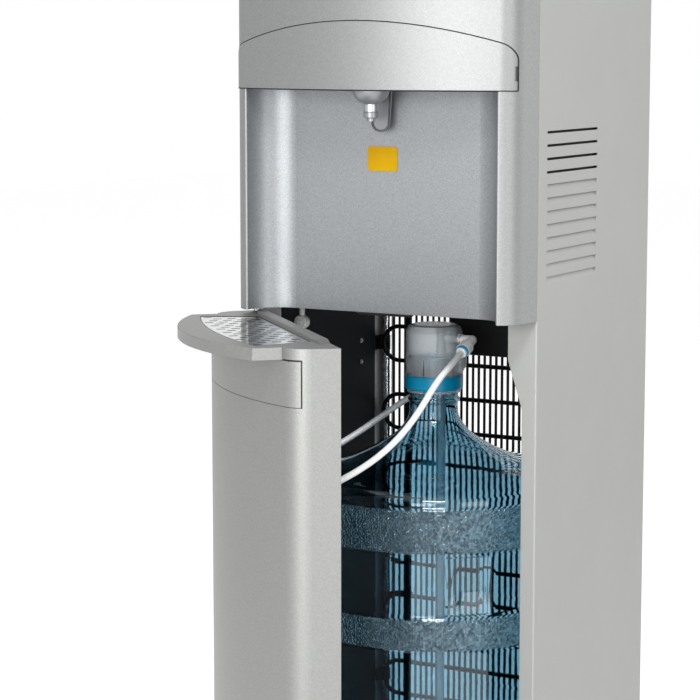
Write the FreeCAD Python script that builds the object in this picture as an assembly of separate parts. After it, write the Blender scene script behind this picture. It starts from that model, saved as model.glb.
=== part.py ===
"""Bottom load water cooler with its door open, as separate pieces in millimetres.

X runs to the right, Y to the back and Z up. The origin is on the floor, midway between the
side panels, in the plane of their front flanges.
"""
import FreeCAD, Part
import math
import os

os.makedirs("parts", exist_ok=True)
V = FreeCAD.Vector
UP = V(0, 0, 1)
BACK = V(0, 1, 0)
RIGHT = V(1, 0, 0)

# ---------------------------------------------------------------- driving dimensions
# cabinet
WIDTH = 310.0              # over the two side panels
DEPTH = 275.0              # side panels, front flange to rear flange
PANEL_TOP = 1022.0         # top edge of the side panels and of the fascia
PANEL_FOOT = 12.0          # bottom edge of the side panels
LID_HEIGHT = 18.0
SHEET = 1.0                # sheet steel of the cabinet
SEAM = 0.3                 # gap left between pieces that only meet
FLANGE = 15.0              # front flange of a side panel
GUSSET = 30.0              # the flange's width beside the alcove
GUSSET_LOW = 501.0         # where the flange starts to widen
GUSSET_HIGH = 548.0        # where it has its full width
REAR_FLANGE = 12.0
FLOOR_TOP = 42.0           # floor of the bottle compartment
BASE_WALL = 4.0
BASE_PROUD = 3.0           # the base's rim in front of the panels' flanges
SEAT_DEPTH = 1.0           # round seat for the bottle in the floor
SHELF_Z = 600.0            # underside of the shelf over the compartment
TANK_SHELF_Z = 812.0       # underside of the upper shelf
SHELF_SHEET = 2.0
SHELF_LIP = 10.0
LINER_BACK = DEPTH - 25.0  # rear edge of the compartment's side liners

# bowed plan outline of the fascia and the door
RETURN_DEPTH = 43.0        # side return, from the seam to where the bow would meet it
RETURN_DRAFT = 5.0         # how far the side return leans in over that depth
BOW_APEX = 76.0            # bow in front of the seam plane, at the middle
BOW_RADIUS = 345.0
CORNER_RADIUS = 25.0
TRIM_HALF = 149.3          # half width of the hood and of the apron

# fascia, hood and alcove
FASCIA_FOOT = 586.0
FASCIA_WALL = 3.0
HOOD_FOOT = 802.0
HOOD_PEAK = 865.8
HOOD_END = 841.5           # where the arch would meet the hood's ends
HOOD_CORNER = 16.0         # rounding between the arch and the ends
HOOD_PROUD = 0.8
HOOD_EDGE = 0.5            # rounding of the hood's and the apron's outer edges
TRIM_WALL = 2.0
ALCOVE_HALF = 134.0
ALCOVE_BACK = 12.0         # back wall of the alcove, in front of the seam plane
ALCOVE_CORNER = 34.0
ALCOVE_WALL = 2.0

# louvres in the side panels
LOUVRE_COUNT = 12
LOUVRE_PITCH = 12.5
LOUVRE_LOW = 623.0
LOUVRE_START = 19.0
LOUVRE_LENGTH = 120.0
LOUVRE_SUNK = 2.5          # how far a blade's upper edge stands inside the sheet
LOUVRE_HEIGHT = 6.0
OPEN_SLOTS = 4             # the bank's upper slots have no blade
OPEN_SLOT_HIGH = 2.4

# outlet and paddle
NOZZLE_Y = -42.0
BOWL_RADIUS = 18.0
BOWL_FOOT = 788.6
COLLAR_RADIUS = 6.9
COLLAR_FOOT = 780.5
TIP_RADIUS = 7.2
TIP_FOOT = 775.0
OUTLET_RADIUS = 4.0
OUTLET_FOOT = 772.0
WATERWAY = 2.5
PADDLE_Y = -21.5
PADDLE_PIVOT_Z = 814.0
PADDLE_HALF = 12.2
PADDLE_TIP_HALF = 9.3
PADDLE_FOOT = 762.0
PADDLE_THICK = 2.0
PIN_RADIUS = 1.5
RUNNING = 0.05             # radial clearance of a running fit

# control panel
PANEL_Z = PANEL_TOP - 57.0
PANEL_LONG = 136.0
PANEL_HIGH = 34.0
PANEL_FACE = 1.0           # the panel's face and back, behind the fascia's face
PANEL_RECESS = 2.4
BUTTON_PITCH = 34.0
BUTTON_RADIUS = 8.6
BUTTON_TRAVEL = 1.5
BUTTON_GAP = 0.3
BUTTON_COLLAR = 1.8        # retaining flange beyond the button
BUTTON_STEM = 5.0          # from the flange's front to the stem's end
BOARD_GAP = 2.8            # from a pressed button's stem to the board
LENS_RADIUS = 2.5

# door
DOOR_FOOT = 20.0
DOOR_TOP = 580.0
DOOR_WALL = 4.0
DOOR_PLATE = 3.0
DOOR_OPEN = 45.5           # degrees, as stored
DOOR_BACK = 1.2            # the door's rear edge, in front of the seam plane
HINGE_X = -149.85          # puts the knuckle flush with the side return
HINGE_Y = -5.3
KNUCKLE_RADIUS = 4.5
HINGE_PIN = 2.5
HINGE_PIN_LENGTH = 12.0
LINER_INSET = 9.0
LINER_WALL = 2.0
APRON_FOOT = 527.5

# drip tray
TRAY_HALF = 133.2
TRAY_APEX = 110.5
TRAY_END = 76.0
TRAY_THICK = 11.0
TRAY_REAR = 11.4
RIM_HIGH = 3.0
RIM_LEFT = 121.0
RIM_RIGHT = 110.0
GRILLE_HALF = 118.0
GRILLE_REAR_HALF = 100.0
GRILLE_APEX = 82.5
GRILLE_END = 69.0
GRILLE_REAR = 14.3
GRILLE_SHEET = 1.2
SLOT_LONG = 8.5            # drain slots, front to back
SLOT_WIDE = 2.8
SLOT_STEP = 13.2           # between columns, along the tray
SLOT_ROW = 14.0            # between the slots of a column
GRILLE_DROP = 0.35         # the grille's face below the tray's
BASIN_DEPTH = 33.0         # below the tray's top
BASIN_FOOT = DOOR_TOP - BASIN_DEPTH
BASIN_WALL = 2.0
BASIN_LEDGE = 4.3          # width of the basin's rim, which hangs in the tray's opening
BASIN_RIM = 3.4            # thickness of that rim
BASIN_CLEAR = 1.0          # between the basin and the door's wall

# bottle
BOTTLE_Y = 92.0
BOTTLE_RADIUS = 135.0
BOTTLE_WALL = 1.6
NECK_RADIUS = 24.4
NECK_TOP = 532.0
BAND_HEIGHTS = ((165.0, 193.0), (263.0, 291.0), (359.0, 399.0))
BAND_STEP = 3.0
GRIP_ANGLE = 42.0          # degrees from the front towards the right
GRIP_Z = 325.0
GRIP_RADIUS = 38.0         # round pocket for a hand in the bottle's side
GRIP_DEPTH = 14.0

# cap assembly on the bottle
BELL_RADIUS = 28.6
BELL_TOP = 565.0
BELL_FOOT = 497.0
BELL_WALL = 1.8
RING_RADIUS = 29.5
RING_LOW = 500.0
RING_HIGH = 514.0
DIP_X = 8.0
DIP_RADIUS = 4.75
DIP_BORE = 3.4
DIP_FOOT = 52.0
ELBOW_X = 42.0
ELBOW_Z = 551.0
ELBOW_TILT = 23.0          # degrees below level
ELBOW_LEG = 12.0           # along the hose's direction, from the elbow's corner
ELBOW_MOUTH = 21.5
COLLET_END = 25.7
WASHER_RADIUS = 5.8
WASHER_THICK = 2.4
SPIGOT_RADIUS = 3.2
TUBE_RADIUS = 3.175

# condenser
COIL_Y = DEPTH - 15.0
COIL_TUBE = 2.4
COIL_PITCH = 37.5
COIL_RUNS = 14
COIL_TOP = 574.5
COIL_HALF = 128.0
WIRE_RADIUS = 0.9
WIRE_PITCH = 6.9
WIRE_COUNT = 41
SUCTION_RADIUS = 4.6
DISCHARGE_RADIUS = 3.0

# pump housing under the shelf, and its inlet
PUMP_LOW = (-21.0, 170.0, 524.0)
PUMP_HIGH = (138.0, DEPTH - 30.0, SHELF_Z)
INLET_LEG = 9.0            # from the inlet's mouth to its corner
INLET_RADIUS = 6.2

# units on the shelves
COMPRESSOR_PLACE = (62.0, DEPTH - 85.0)
COMPRESSOR_RADIUS = 60.0
HOT_PLACE = (-82.0, DEPTH - 100.0)
COLD_PLACE = (0.0, DEPTH - 125.0)
COLD_RADIUS = 88.0
TANK_CLEAR = 24.0          # from the cold tank to the panels' top

# rear fittings
SWITCH_Z = 800.0
SWITCH_X = 96.0
SWITCH_PITCH = 34.0
ROCKER_RADIUS = 10.0
ROCKER_WIDE = 14.0
ROCKER_THROW = 16.0        # degrees, from one end pressed to the other
GLAND_X = -120.0
GLAND_Z = 618.0
GLAND_RADIUS = 5.5

# the suction hose's route, from the cap's elbow round the bottle to the pump, by hand
HOSE_ROUTE = (
    (42.0, 68.34, 540.96),
    (42.0, 44.4, 530.8),
    (39.5, 20.0, 518.0),
    (32.0, -5.0, 489.5),
    (22.0, -23.0, 468.5),
    (6.5, -39.0, 449.5),
    (-17.0, -52.5, 431.5),
    (-48.0, -55.0, 415.5),
    (-83.0, -44.0, 404.5),
    (-113.5, -22.0, 401.0),
    (-131.5, 8.0, 403.0),
    (-137.5, 42.0, 409.0),
    (-127.0, 72.0, 421.0),
    (-101.0, 96.0, 438.5),
    (-76.0, 118.0, 460.0),
    (-50.0, 140.0, 482.5),
    (-29.0, 161.0, 494.0),
    (-17.0, 174.5, 507.0),
)


# ---------------------------------------------------------------- helpers
def save(name, shape):
    """Write one piece to its own file."""
    shape.removeSplitter().exportStep("parts/" + name + ".step")


def box(low, high):
    """A block between two corners."""
    return Part.makeBox(high[0] - low[0], high[1] - low[1], high[2] - low[2], V(*low))


def union(shapes):
    """One solid from several that overlap or touch."""
    return shapes[0].multiFuse(list(shapes[1:]))


def polygon(points):
    """A flat face inside a closed run of points."""
    corners = [V(*point) for point in points]
    return Part.Face(Part.makePolygon(corners + corners[:1]))


def turned(profile, centre):
    """A solid of revolution about a vertical axis, from (radius, height) points."""
    face = polygon([(centre[0] + radius, centre[1], height) for radius, height in profile])
    return face.revolve(V(centre[0], centre[1], 0), UP, 360)


def mirrored(shape):
    """The same piece on the other side of the cabinet's middle plane."""
    return shape.mirror(V(0, 0, 0), RIGHT)


def outline_marks(inset):
    """Right half of the bowed plan, set in: side line start, side end, corner mid, bow start."""
    half = WIDTH / 2
    slope = math.hypot(RETURN_DRAFT, RETURN_DEPTH)
    along = V(-RETURN_DRAFT / slope, -RETURN_DEPTH / slope, 0)
    inward = V(-RETURN_DEPTH / slope, RETURN_DRAFT / slope, 0)
    bow_centre = V(0, BOW_RADIUS - BOW_APEX, 0)
    reach = V(half, 0, 0) + inward * CORNER_RADIUS - bow_centre
    lead = reach.dot(along)
    gap = reach.dot(reach) - (BOW_RADIUS - CORNER_RADIUS) ** 2
    centre = bow_centre + reach + along * (-lead + math.sqrt(lead * lead - gap))
    radius = CORNER_RADIUS - inset
    to_bow = (centre - bow_centre).normalize()
    side_end = centre - inward * radius
    bow_start = centre + to_bow * radius
    middle = centre + (to_bow - inward).normalize() * radius
    return side_end, middle, bow_start, along


def outline(inset, back=0.0):
    """The bowed plan as a face at height zero, set in by an inset and cut off at Y = back."""
    side_end, middle, bow_start, along = outline_marks(inset)
    side_start = side_end + along * ((back - side_end.y) / along.y)
    apex = V(0, inset - BOW_APEX, 0)

    def other(point):
        return V(-point.x, point.y, 0)

    edges = [
        Part.LineSegment(side_start, side_end).toShape(),
        Part.Arc(side_end, middle, bow_start).toShape(),
        Part.Arc(bow_start, apex, other(bow_start)).toShape(),
        Part.Arc(other(bow_start), other(middle), other(side_end)).toShape(),
        Part.LineSegment(other(side_end), other(side_start)).toShape(),
        Part.LineSegment(other(side_start), side_start).toShape(),
    ]
    return Part.Face(Part.Wire(edges))


def raised(face, low, high):
    """A flat face lifted to one height and pulled up to another."""
    lifted = face.copy()
    lifted.translate(V(0, 0, low))
    return lifted.extrude(V(0, 0, high - low))


def bowed_shell(outer, inner, low, high, back=0.0):
    """A wall that follows the bowed plan between two insets, open at the back."""
    inside = raised(outline(inner, back + 5.0), low - 1, high + 1)
    return raised(outline(outer, back), low, high).cut(inside)


def slab(half, low, high):
    """Everything within a half width of the middle plane, between two heights."""
    return box((-half, -200, low), (half, 400, high))


def bow_y(x, inset=0.0):
    """Y of the bowed front at a distance from the middle."""
    radius = BOW_RADIUS - inset
    return BOW_RADIUS - BOW_APEX - math.sqrt(radius * radius - x * x)


def arc_through(start, middle, end):
    """An arc edge through three points."""
    return Part.Arc(V(*start), V(*middle), V(*end)).toShape()


def line(start, end):
    """A straight edge between two points."""
    return Part.LineSegment(V(*start), V(*end)).toShape()


def slot_outline(long, high, place):
    """A slot with round ends, long in X, from a function that puts (x, across) into space."""
    half = long / 2 - high / 2
    radius = high / 2
    left_low, left_end, left_high = place(-half, -radius), place(-half - radius, 0), place(-half, radius)
    right_low, right_end, right_high = place(half, -radius), place(half + radius, 0), place(half, radius)
    edges = [
        line(left_low, right_low),
        arc_through(right_low, right_end, right_high),
        line(right_high, left_high),
        arc_through(left_high, left_end, left_low),
    ]
    return Part.Face(Part.Wire(edges))


def rounded_slot(long, high, x, z, front, back):
    """A slot with round ends, long in X, pulled through in Y."""
    face = slot_outline(long, high, lambda along, across: (x + along, front, z + across))
    return face.extrude(V(0, back - front, 0))


def drain_slot(long, wide, x, y, low, high):
    """A slot with round ends, long in Y, pulled through in Z."""
    face = slot_outline(long, wide, lambda along, across: (x + across, y + along, low))
    return face.extrude(V(0, 0, high - low))


def upright_edges(shape, x, y, reach=0.05):
    """The vertical edges of a shape that stand at one place in plan."""
    found = []
    for edge in shape.Edges:
        ends = [vertex.Point for vertex in edge.Vertexes]
        if len(ends) == 2 and abs(ends[0].z - ends[1].z) > 1:
            if all(abs(end.x - x) < reach and abs(end.y - y) < reach for end in ends):
                found.append(edge)
    return found


def outer_rims(shape, inset):
    """The edges round a bowed shell's outer faces, without those between the faces."""
    radii = (BOW_RADIUS - inset, CORNER_RADIUS - inset)
    outer = []
    for face in shape.Faces:
        radius = getattr(face.Surface, "Radius", 0.0)
        if min(abs(radius - wanted) for wanted in radii) < 0.01:
            outer.append(face)
    edges = [edge for face in outer for edge in face.Edges]
    return [edge for edge in edges if sum(1 for other in edges if other.isSame(edge)) == 1]


def rested(shape):
    """A door piece turned from its closed place to the stored opening."""
    turned_shape = shape.copy()
    turned_shape.rotate(V(HINGE_X, HINGE_Y, 0), UP, -DOOR_OPEN)
    return turned_shape


def smooth_tube(points, radius):
    """A round tube on straight runs joined by tangent arcs, with the arcs' radii."""
    corners = [V(*point) for point in points]
    edges = []
    radii = []
    start = corners[0]
    for before, corner, after in zip(corners, corners[1:], corners[2:]):
        arriving = (corner - before).normalize()
        leaving = (after - corner).normalize()
        half_turn = arriving.getAngle(leaving) / 2
        shorter = min((corner - before).Length, (after - corner).Length)
        arc_radius = 0.45 * shorter / math.tan(half_turn)
        trim = 0.45 * shorter
        entry = corner - arriving * trim
        leave = corner + leaving * trim
        inward = (leaving - arriving).normalize()
        middle = corner + inward * (arc_radius / math.cos(half_turn) - arc_radius)
        edges.append(Part.LineSegment(start, entry).toShape())
        edges.append(Part.Arc(entry, middle, leave).toShape())
        radii.append(arc_radius)
        start = leave
    edges.append(Part.LineSegment(start, corners[-1]).toShape())
    path = Part.Wire(edges)
    ring = Part.Wire(Part.makeCircle(radius, corners[0], (corners[1] - corners[0])))
    tube = path.makePipeShell([ring], True, False)
    return tube, path, radii


# ---------------------------------------------------------------- cabinet
def side_panel():
    """Right-hand sheet panel with its front gusset, rear flange and louvre bank."""
    half = WIDTH / 2
    front = polygon([
        (half, 0, PANEL_FOOT),
        (half, 0, PANEL_TOP),
        (half - GUSSET, 0, PANEL_TOP),
        (half - GUSSET, 0, GUSSET_HIGH),
        (half - FLANGE, 0, GUSSET_LOW),
        (half - FLANGE, 0, PANEL_FOOT),
    ]).extrude(BACK * SHEET)
    side = box((half - SHEET, 0, PANEL_FOOT), (half, DEPTH, PANEL_TOP))
    rear = box((half - REAR_FLANGE, DEPTH - SHEET, PANEL_FOOT), (half, DEPTH, PANEL_TOP))
    panel = union([side, front, rear]).removeSplitter()
    bends = upright_edges(panel, half, 0) + upright_edges(panel, half, DEPTH)
    panel = panel.makeFillet(1.5 * SHEET, bends)
    end = LOUVRE_START + LOUVRE_LENGTH
    for index in range(LOUVRE_COUNT):
        high = LOUVRE_LOW + index * LOUVRE_PITCH + LOUVRE_HEIGHT / 2
        if index >= LOUVRE_COUNT - OPEN_SLOTS:
            slot = box((half - 2 * SHEET, LOUVRE_START, high - OPEN_SLOT_HIGH), (half + SHEET, end, high))
            panel = panel.cut(slot)
            continue
        low = high - LOUVRE_HEIGHT
        blade = polygon([
            (half - SHEET, LOUVRE_START, low),
            (half, LOUVRE_START, low),
            (half - LOUVRE_SUNK, LOUVRE_START, high),
            (half - LOUVRE_SUNK - SHEET, LOUVRE_START, high),
        ]).extrude(BACK * LOUVRE_LENGTH)
        cheek = polygon([
            (half, LOUVRE_START, low),
            (half, LOUVRE_START, high),
            (half - LOUVRE_SUNK, LOUVRE_START, high),
        ])
        near = cheek.extrude(BACK * SHEET)
        far = near.copy()
        far.translate(BACK * (LOUVRE_LENGTH - SHEET))
        opened = panel.cut(box((half - 2 * SHEET, LOUVRE_START, low), (half + SHEET, end, high)))
        panel = opened.multiFuse([blade, near, far])
    return panel


def side_liner():
    """Dark sheet that lines the right side of the bottle compartment."""
    outer = WIDTH / 2 - SHEET
    return box((outer - SHEET, 2 * SHEET, FLOOR_TOP), (outer, LINER_BACK, SHELF_Z))


def liner_rivets():
    """Blind rivets that hold the left liner."""
    face = SHEET * 2 - WIDTH / 2
    heads = []
    for y, z in ((218.0, 524.5), (218.0, 501.5), (30.0, 524.5), (30.0, 80.0), (218.0, 80.0)):
        heads.append(Part.makeCylinder(2.4, 0.8, V(face, y, z), RIGHT))
        heads.append(Part.makeCylinder(1.2, 1.6, V(face + 0.4, y, z), RIGHT))
    domes = [heads[i].fuse(heads[i + 1]) for i in range(0, len(heads), 2)]
    return Part.makeCompound(domes)


def base():
    """Moulded base, ribbed and open below, with a rim under the panels and the bottle's seat."""
    half = WIDTH / 2
    inner = half - SHEET
    front = SHEET + SEAM
    rim_top = PANEL_FOOT - SEAM
    rim = box((-half, -BASE_PROUD, 0), (half, DEPTH, rim_top))
    deck = box((-inner, front, 0), (inner, DEPTH - front, FLOOR_TOP))
    block = rim.fuse(deck)
    low_hollow = box(
        (BASE_WALL - half, BASE_WALL - BASE_PROUD, -1),
        (half - BASE_WALL, DEPTH - BASE_WALL, rim_top - BASE_WALL))
    high_hollow = box(
        (BASE_WALL - inner, front + BASE_WALL, -1),
        (inner - BASE_WALL, DEPTH - front - BASE_WALL, FLOOR_TOP - BASE_WALL))
    ribs = []
    for share in (-0.5, 0.0, 0.5):
        x = share * half
        ribs.append(block.common(box((x - 1.5, -BASE_PROUD, 0), (x + 1.5, DEPTH, FLOOR_TOP))))
    seat = Part.makeCylinder(BOTTLE_RADIUS + 3, 2 * SEAT_DEPTH, V(0, BOTTLE_Y, FLOOR_TOP - SEAT_DEPTH))
    return union([block.cut(low_hollow).cut(high_hollow)] + ribs).cut(seat)


def shelf(z, rear):
    """Sheet shelf across the cabinet with a turned-down front lip."""
    half = WIDTH / 2 - SHEET
    lip_half = half - SHEET - SEAM
    plate = box((-half, 2 * SHEET, z), (half, rear, z + SHELF_SHEET))
    return plate.fuse(box((-lip_half, 2 * SHEET, z - SHELF_LIP), (lip_half, 3 * SHEET, z)))


def rear_panel():
    """Sheet cover over the upper back, with two banks of slots and holes for what it carries."""
    half = WIDTH / 2 - SHEET - SEAM
    face = DEPTH - SHEET
    plate = box((-half, face - SHEET, SHELF_Z), (half, face, PANEL_TOP - SEAM))
    for row in range(10):
        for x in (-62.0, 62.0):
            plate = plate.cut(rounded_slot(80.0, 4.0, x, 660.0 + row * 11.0, face - 3, face + 2))
    long, high = switch_cup_size()
    window = box(
        (SWITCH_X - long / 2 - SEAM, face - 3, SWITCH_Z - high / 2 - SEAM),
        (SWITCH_X + long / 2 + SEAM, face + 2, SWITCH_Z + high / 2 + SEAM))
    gland_hole = Part.makeCylinder(GLAND_RADIUS + SEAM, 6, V(GLAND_X, face - 3, GLAND_Z), BACK)
    return plate.cut(window).cut(gland_hole)


def lid():
    """Top cover: a shallow moulding with the fascia's bow in front."""
    half = WIDTH / 2
    top = PANEL_TOP + LID_HEIGHT
    body = raised(outline(0), PANEL_TOP, top)
    body = body.fuse(box((-half, 0, PANEL_TOP), (half, DEPTH, top))).removeSplitter()
    rims = [edge for edge in body.Edges if edge.BoundBox.ZMin > top - 0.01]
    body = body.makeFillet(6.0, rims)
    well = raised(outline(FASCIA_WALL, 2.0), PANEL_TOP - 1, top - 3)
    well = well.fuse(box((4 - half, 1.5, PANEL_TOP - 1), (half - 4, DEPTH - 4, top - 3)))
    return body.cut(well)


# ---------------------------------------------------------------- fascia and alcove
def arch(grow=0.0):
    """A block with the hood's outline from the front: arched on top, with round corners."""
    half = TRIM_HALF + grow
    end = HOOD_END + grow
    front = -200.0
    edges = [
        line((-half, front, HOOD_FOOT), (half, front, HOOD_FOOT)),
        line((half, front, HOOD_FOOT), (half, front, end)),
        arc_through((half, front, end), (0, front, HOOD_PEAK + grow), (-half, front, end)),
        line((-half, front, end), (-half, front, HOOD_FOOT)),
    ]
    block = Part.Face(Part.Wire(edges)).extrude(BACK * 199)
    corners = [edge for edge in block.Edges if edge.BoundBox.YLength > 100 and edge.BoundBox.ZMin > end - 1]
    return block.makeFillet(HOOD_CORNER + grow, corners)


def fascia():
    """Moulded front frame: two pillars beside the alcove and the bowed front over them."""
    lower = bowed_shell(0, FASCIA_WALL, FASCIA_FOOT, HOOD_FOOT, -SEAM)
    lower = lower.cut(slab(ALCOVE_HALF, FASCIA_FOOT - 1, HOOD_FOOT + 1))
    edge_y = bow_y(ALCOVE_HALF)
    lower = lower.makeFillet(
        1.6, upright_edges(lower, ALCOVE_HALF, edge_y) + upright_edges(lower, -ALCOVE_HALF, edge_y))
    upper = bowed_shell(0, FASCIA_WALL, HOOD_FOOT, PANEL_TOP - SEAM, -SEAM)
    lap = FASCIA_WALL + SEAM
    hood_floor = TRIM_WALL - HOOD_PROUD + SEAM
    upper = upper.cut(bowed_shell(-1, hood_floor, HOOD_FOOT - 1, PANEL_TOP).common(arch(SEAM)))
    behind_hood = bowed_shell(hood_floor, hood_floor + FASCIA_WALL, HOOD_FOOT, PANEL_TOP)
    upper = upper.cut(bowed_shell(-1, PANEL_RECESS, HOOD_FOOT, PANEL_TOP).common(panel_oval(SEAM)))
    behind_panel = bowed_shell(PANEL_RECESS, PANEL_RECESS + FASCIA_WALL, HOOD_FOOT, PANEL_TOP)
    frame = union([lower, upper, behind_hood.common(arch(lap)), behind_panel.common(panel_oval(lap))])
    frame = frame.removeSplitter()
    for index in (-1, 0, 1):
        hole = Part.makeCylinder(
            BUTTON_RADIUS + BUTTON_GAP, 60, V(index * BUTTON_PITCH, -100, PANEL_Z), BACK)
        frame = frame.cut(hole)
    return frame


def hood():
    """Arched cover over the outlet, clipped on the fascia."""
    face = bowed_shell(-HOOD_PROUD, TRIM_WALL - HOOD_PROUD, HOOD_FOOT, HOOD_PEAK + 1, -SEAM)
    face = face.common(arch())
    face = face.makeFillet(HOOD_EDGE, outer_rims(face, -HOOD_PROUD))
    grip = box((TRIM_HALF - 1.2, -60, HOOD_FOOT + 9), (TRIM_HALF + 1, -20, HOOD_FOOT + 22))
    return face.cut(grip)


def alcove_plan(back):
    """Plan of the alcove's inner face, closed off in front, grown to the back by a wall."""
    half = ALCOVE_HALF
    rear = -ALCOVE_BACK + back
    radius = ALCOVE_CORNER + back
    side = -ALCOVE_BACK - ALCOVE_CORNER
    diagonal = radius * math.sqrt(0.5)
    centre = half - ALCOVE_CORNER
    front = -BOW_APEX - 20
    edges = [
        line((-centre - radius, front, 0), (-centre - radius, side, 0)),
        arc_through(
            (-centre - radius, side, 0), (-centre - diagonal, side + diagonal, 0), (-centre, rear, 0)),
        line((-centre, rear, 0), (centre, rear, 0)),
        arc_through(
            (centre, rear, 0), (centre + diagonal, side + diagonal, 0), (centre + radius, side, 0)),
        line((centre + radius, side, 0), (centre + radius, front, 0)),
        line((centre + radius, front, 0), (-centre - radius, front, 0)),
    ]
    return Part.Face(Part.Wire(edges))


def alcove_panel():
    """Curved back wall and ceiling of the cup space, with the ears that hold the paddle's pin."""
    ceiling = HOOD_FOOT + 1
    wall = raised(alcove_plan(ALCOVE_WALL), FASCIA_FOOT, ceiling + 2)
    wall = wall.cut(raised(alcove_plan(0), FASCIA_FOOT - 1, ceiling))
    behind_pillars = raised(outline(FASCIA_WALL + SEAM), FASCIA_FOOT, HOOD_FOOT - SEAM)
    hood_floor = TRIM_WALL - HOOD_PROUD + SEAM
    behind_front = raised(outline(hood_floor + FASCIA_WALL + SEAM), FASCIA_FOOT, ceiling + 2)
    wall = wall.common(behind_pillars.fuse(behind_front))
    ears = []
    for side in (-1, 1):
        inner = PADDLE_HALF + 0.8
        low = min(side * inner, side * (inner + 3))
        ears.append(box((low, PADDLE_Y - 4, ceiling), (low + 3, PADDLE_Y + 4, PADDLE_PIVOT_Z + 4)))
    wall = union([wall] + ears)
    pin = Part.makeCylinder(PIN_RADIUS, 60, V(-30, PADDLE_Y, PADDLE_PIVOT_Z), RIGHT)
    slot = box(
        (-PADDLE_HALF - 0.8, PADDLE_Y - 3, HOOD_FOOT), (PADDLE_HALF + 0.8, PADDLE_Y + 5, ceiling + 3))
    outlet = Part.makeCylinder(COLLAR_RADIUS, 10, V(0, NOZZLE_Y, HOOD_FOOT))
    return wall.cut(pin).cut(slot).cut(outlet)


def label_plate():
    """Small blank plate with rounded corners on the alcove's back wall."""
    y = -ALCOVE_BACK
    plate = box((-19.7, y - 0.6, 723.4), (12.5, y, 746.9))
    corners = [edge for edge in plate.Edges if edge.BoundBox.YLength > 0.5]
    return plate.makeFillet(3.0, corners)


# ---------------------------------------------------------------- outlet, paddle and controls
def nozzle_bowl():
    """Bell-shaped shroud under the alcove's ceiling."""
    top = HOOD_FOOT + 1
    neck = COLLAR_RADIUS + 1.2
    edges = [
        line((WATERWAY, 0, BOWL_FOOT), (neck, 0, BOWL_FOOT)),
        arc_through((neck, 0, BOWL_FOOT), (14.0, 0, 792.7), (BOWL_RADIUS, 0, top)),
        line((BOWL_RADIUS, 0, top), (WATERWAY, 0, top)),
        line((WATERWAY, 0, top), (WATERWAY, 0, BOWL_FOOT)),
    ]
    bowl = Part.Face(Part.Wire(edges)).revolve(V(0, 0, 0), UP, 360)
    bowl.translate(V(0, NOZZLE_Y, 0))
    return bowl


def nozzle_collar():
    """Bright metal collar under the shroud."""
    return turned([
        (WATERWAY, COLLAR_FOOT), (COLLAR_RADIUS - 0.6, COLLAR_FOOT), (COLLAR_RADIUS, COLLAR_FOOT + 0.6),
        (COLLAR_RADIUS, BOWL_FOOT - 0.6), (COLLAR_RADIUS - 0.6, BOWL_FOOT), (WATERWAY, BOWL_FOOT),
    ], (0, NOZZLE_Y))


def nozzle_tip():
    """Grey end ring with the narrow outlet."""
    return turned([
        (WATERWAY, OUTLET_FOOT), (OUTLET_RADIUS, OUTLET_FOOT), (OUTLET_RADIUS, TIP_FOOT),
        (TIP_RADIUS - 0.8, TIP_FOOT), (TIP_RADIUS, TIP_FOOT + 0.8), (TIP_RADIUS, COLLAR_FOOT),
        (WATERWAY, COLLAR_FOOT),
    ], (0, NOZZLE_Y))


def faucet_valve():
    """Solenoid valve on the alcove's ceiling, with its spout down to the shroud."""
    floor = HOOD_FOOT + 3
    body = box((-16, NOZZLE_Y - 14, floor), (16, NOZZLE_Y + 12, floor + 20))
    coil = Part.makeCylinder(11, 24, V(0, NOZZLE_Y, floor + 20))
    spout = Part.makeCylinder(COLLAR_RADIUS - SEAM, 4, V(0, NOZZLE_Y, floor - 2))
    inlet = Part.makeCylinder(4, 12, V(-28, NOZZLE_Y, floor + 12), RIGHT)
    waterway = Part.makeCylinder(WATERWAY, 10, V(0, NOZZLE_Y, floor - 3))
    return union([body, coil, spout, inlet]).cut(waterway)


def tongue_face(inset, y):
    """The paddle's outline, narrowing downward to a round end, set in by an inset."""
    top = PADDLE_PIVOT_Z
    low = PADDLE_FOOT + inset
    wide = PADDLE_HALF - inset
    narrow = PADDLE_TIP_HALF - inset
    bend = PADDLE_FOOT + 8.0
    edges = [
        line((-wide, y, top), (-narrow, y, bend)),
        arc_through((-narrow, y, bend), (-narrow * 0.62, y, low + 1.3), (0, y, low)),
        arc_through((0, y, low), (narrow * 0.62, y, low + 1.3), (narrow, y, bend)),
        line((narrow, y, bend), (wide, y, top)),
        line((wide, y, top), (-wide, y, top)),
    ]
    return Part.Face(Part.Wire(edges))


def paddle():
    """Cup paddle: a rimmed tongue under a knuckle that turns on the pin."""
    front = PADDLE_Y - PADDLE_THICK / 2
    plate = tongue_face(0, front).extrude(BACK * PADDLE_THICK)
    rim = tongue_face(0, front - 0.8).extrude(BACK * 0.8)
    rim = rim.cut(tongue_face(1.0, front - 1).extrude(BACK * 2))
    rim = rim.cut(box((-20, front - 2, HOOD_FOOT), (20, front + 1, PADDLE_PIVOT_Z + 1)))
    knuckle = Part.makeCylinder(3.5, 2 * PADDLE_HALF, V(-PADDLE_HALF, PADDLE_Y, PADDLE_PIVOT_Z), RIGHT)
    bore = Part.makeCylinder(PIN_RADIUS + RUNNING, 60, V(-30, PADDLE_Y, PADDLE_PIVOT_Z), RIGHT)
    return union([plate, rim, knuckle]).cut(bore)


def paddle_pin():
    """Pin through the two ears and the paddle's knuckle."""
    length = 2 * (PADDLE_HALF + 3.8)
    return Part.makeCylinder(PIN_RADIUS, length, V(-length / 2, PADDLE_Y, PADDLE_PIVOT_Z), RIGHT)


def panel_oval(grow=0.0):
    """A block with the control panel's outline from the front, grown by a margin."""
    return rounded_slot(PANEL_LONG + 2 * grow, PANEL_HIGH + 2 * grow, 0, PANEL_Z, -120, -40)


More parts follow.
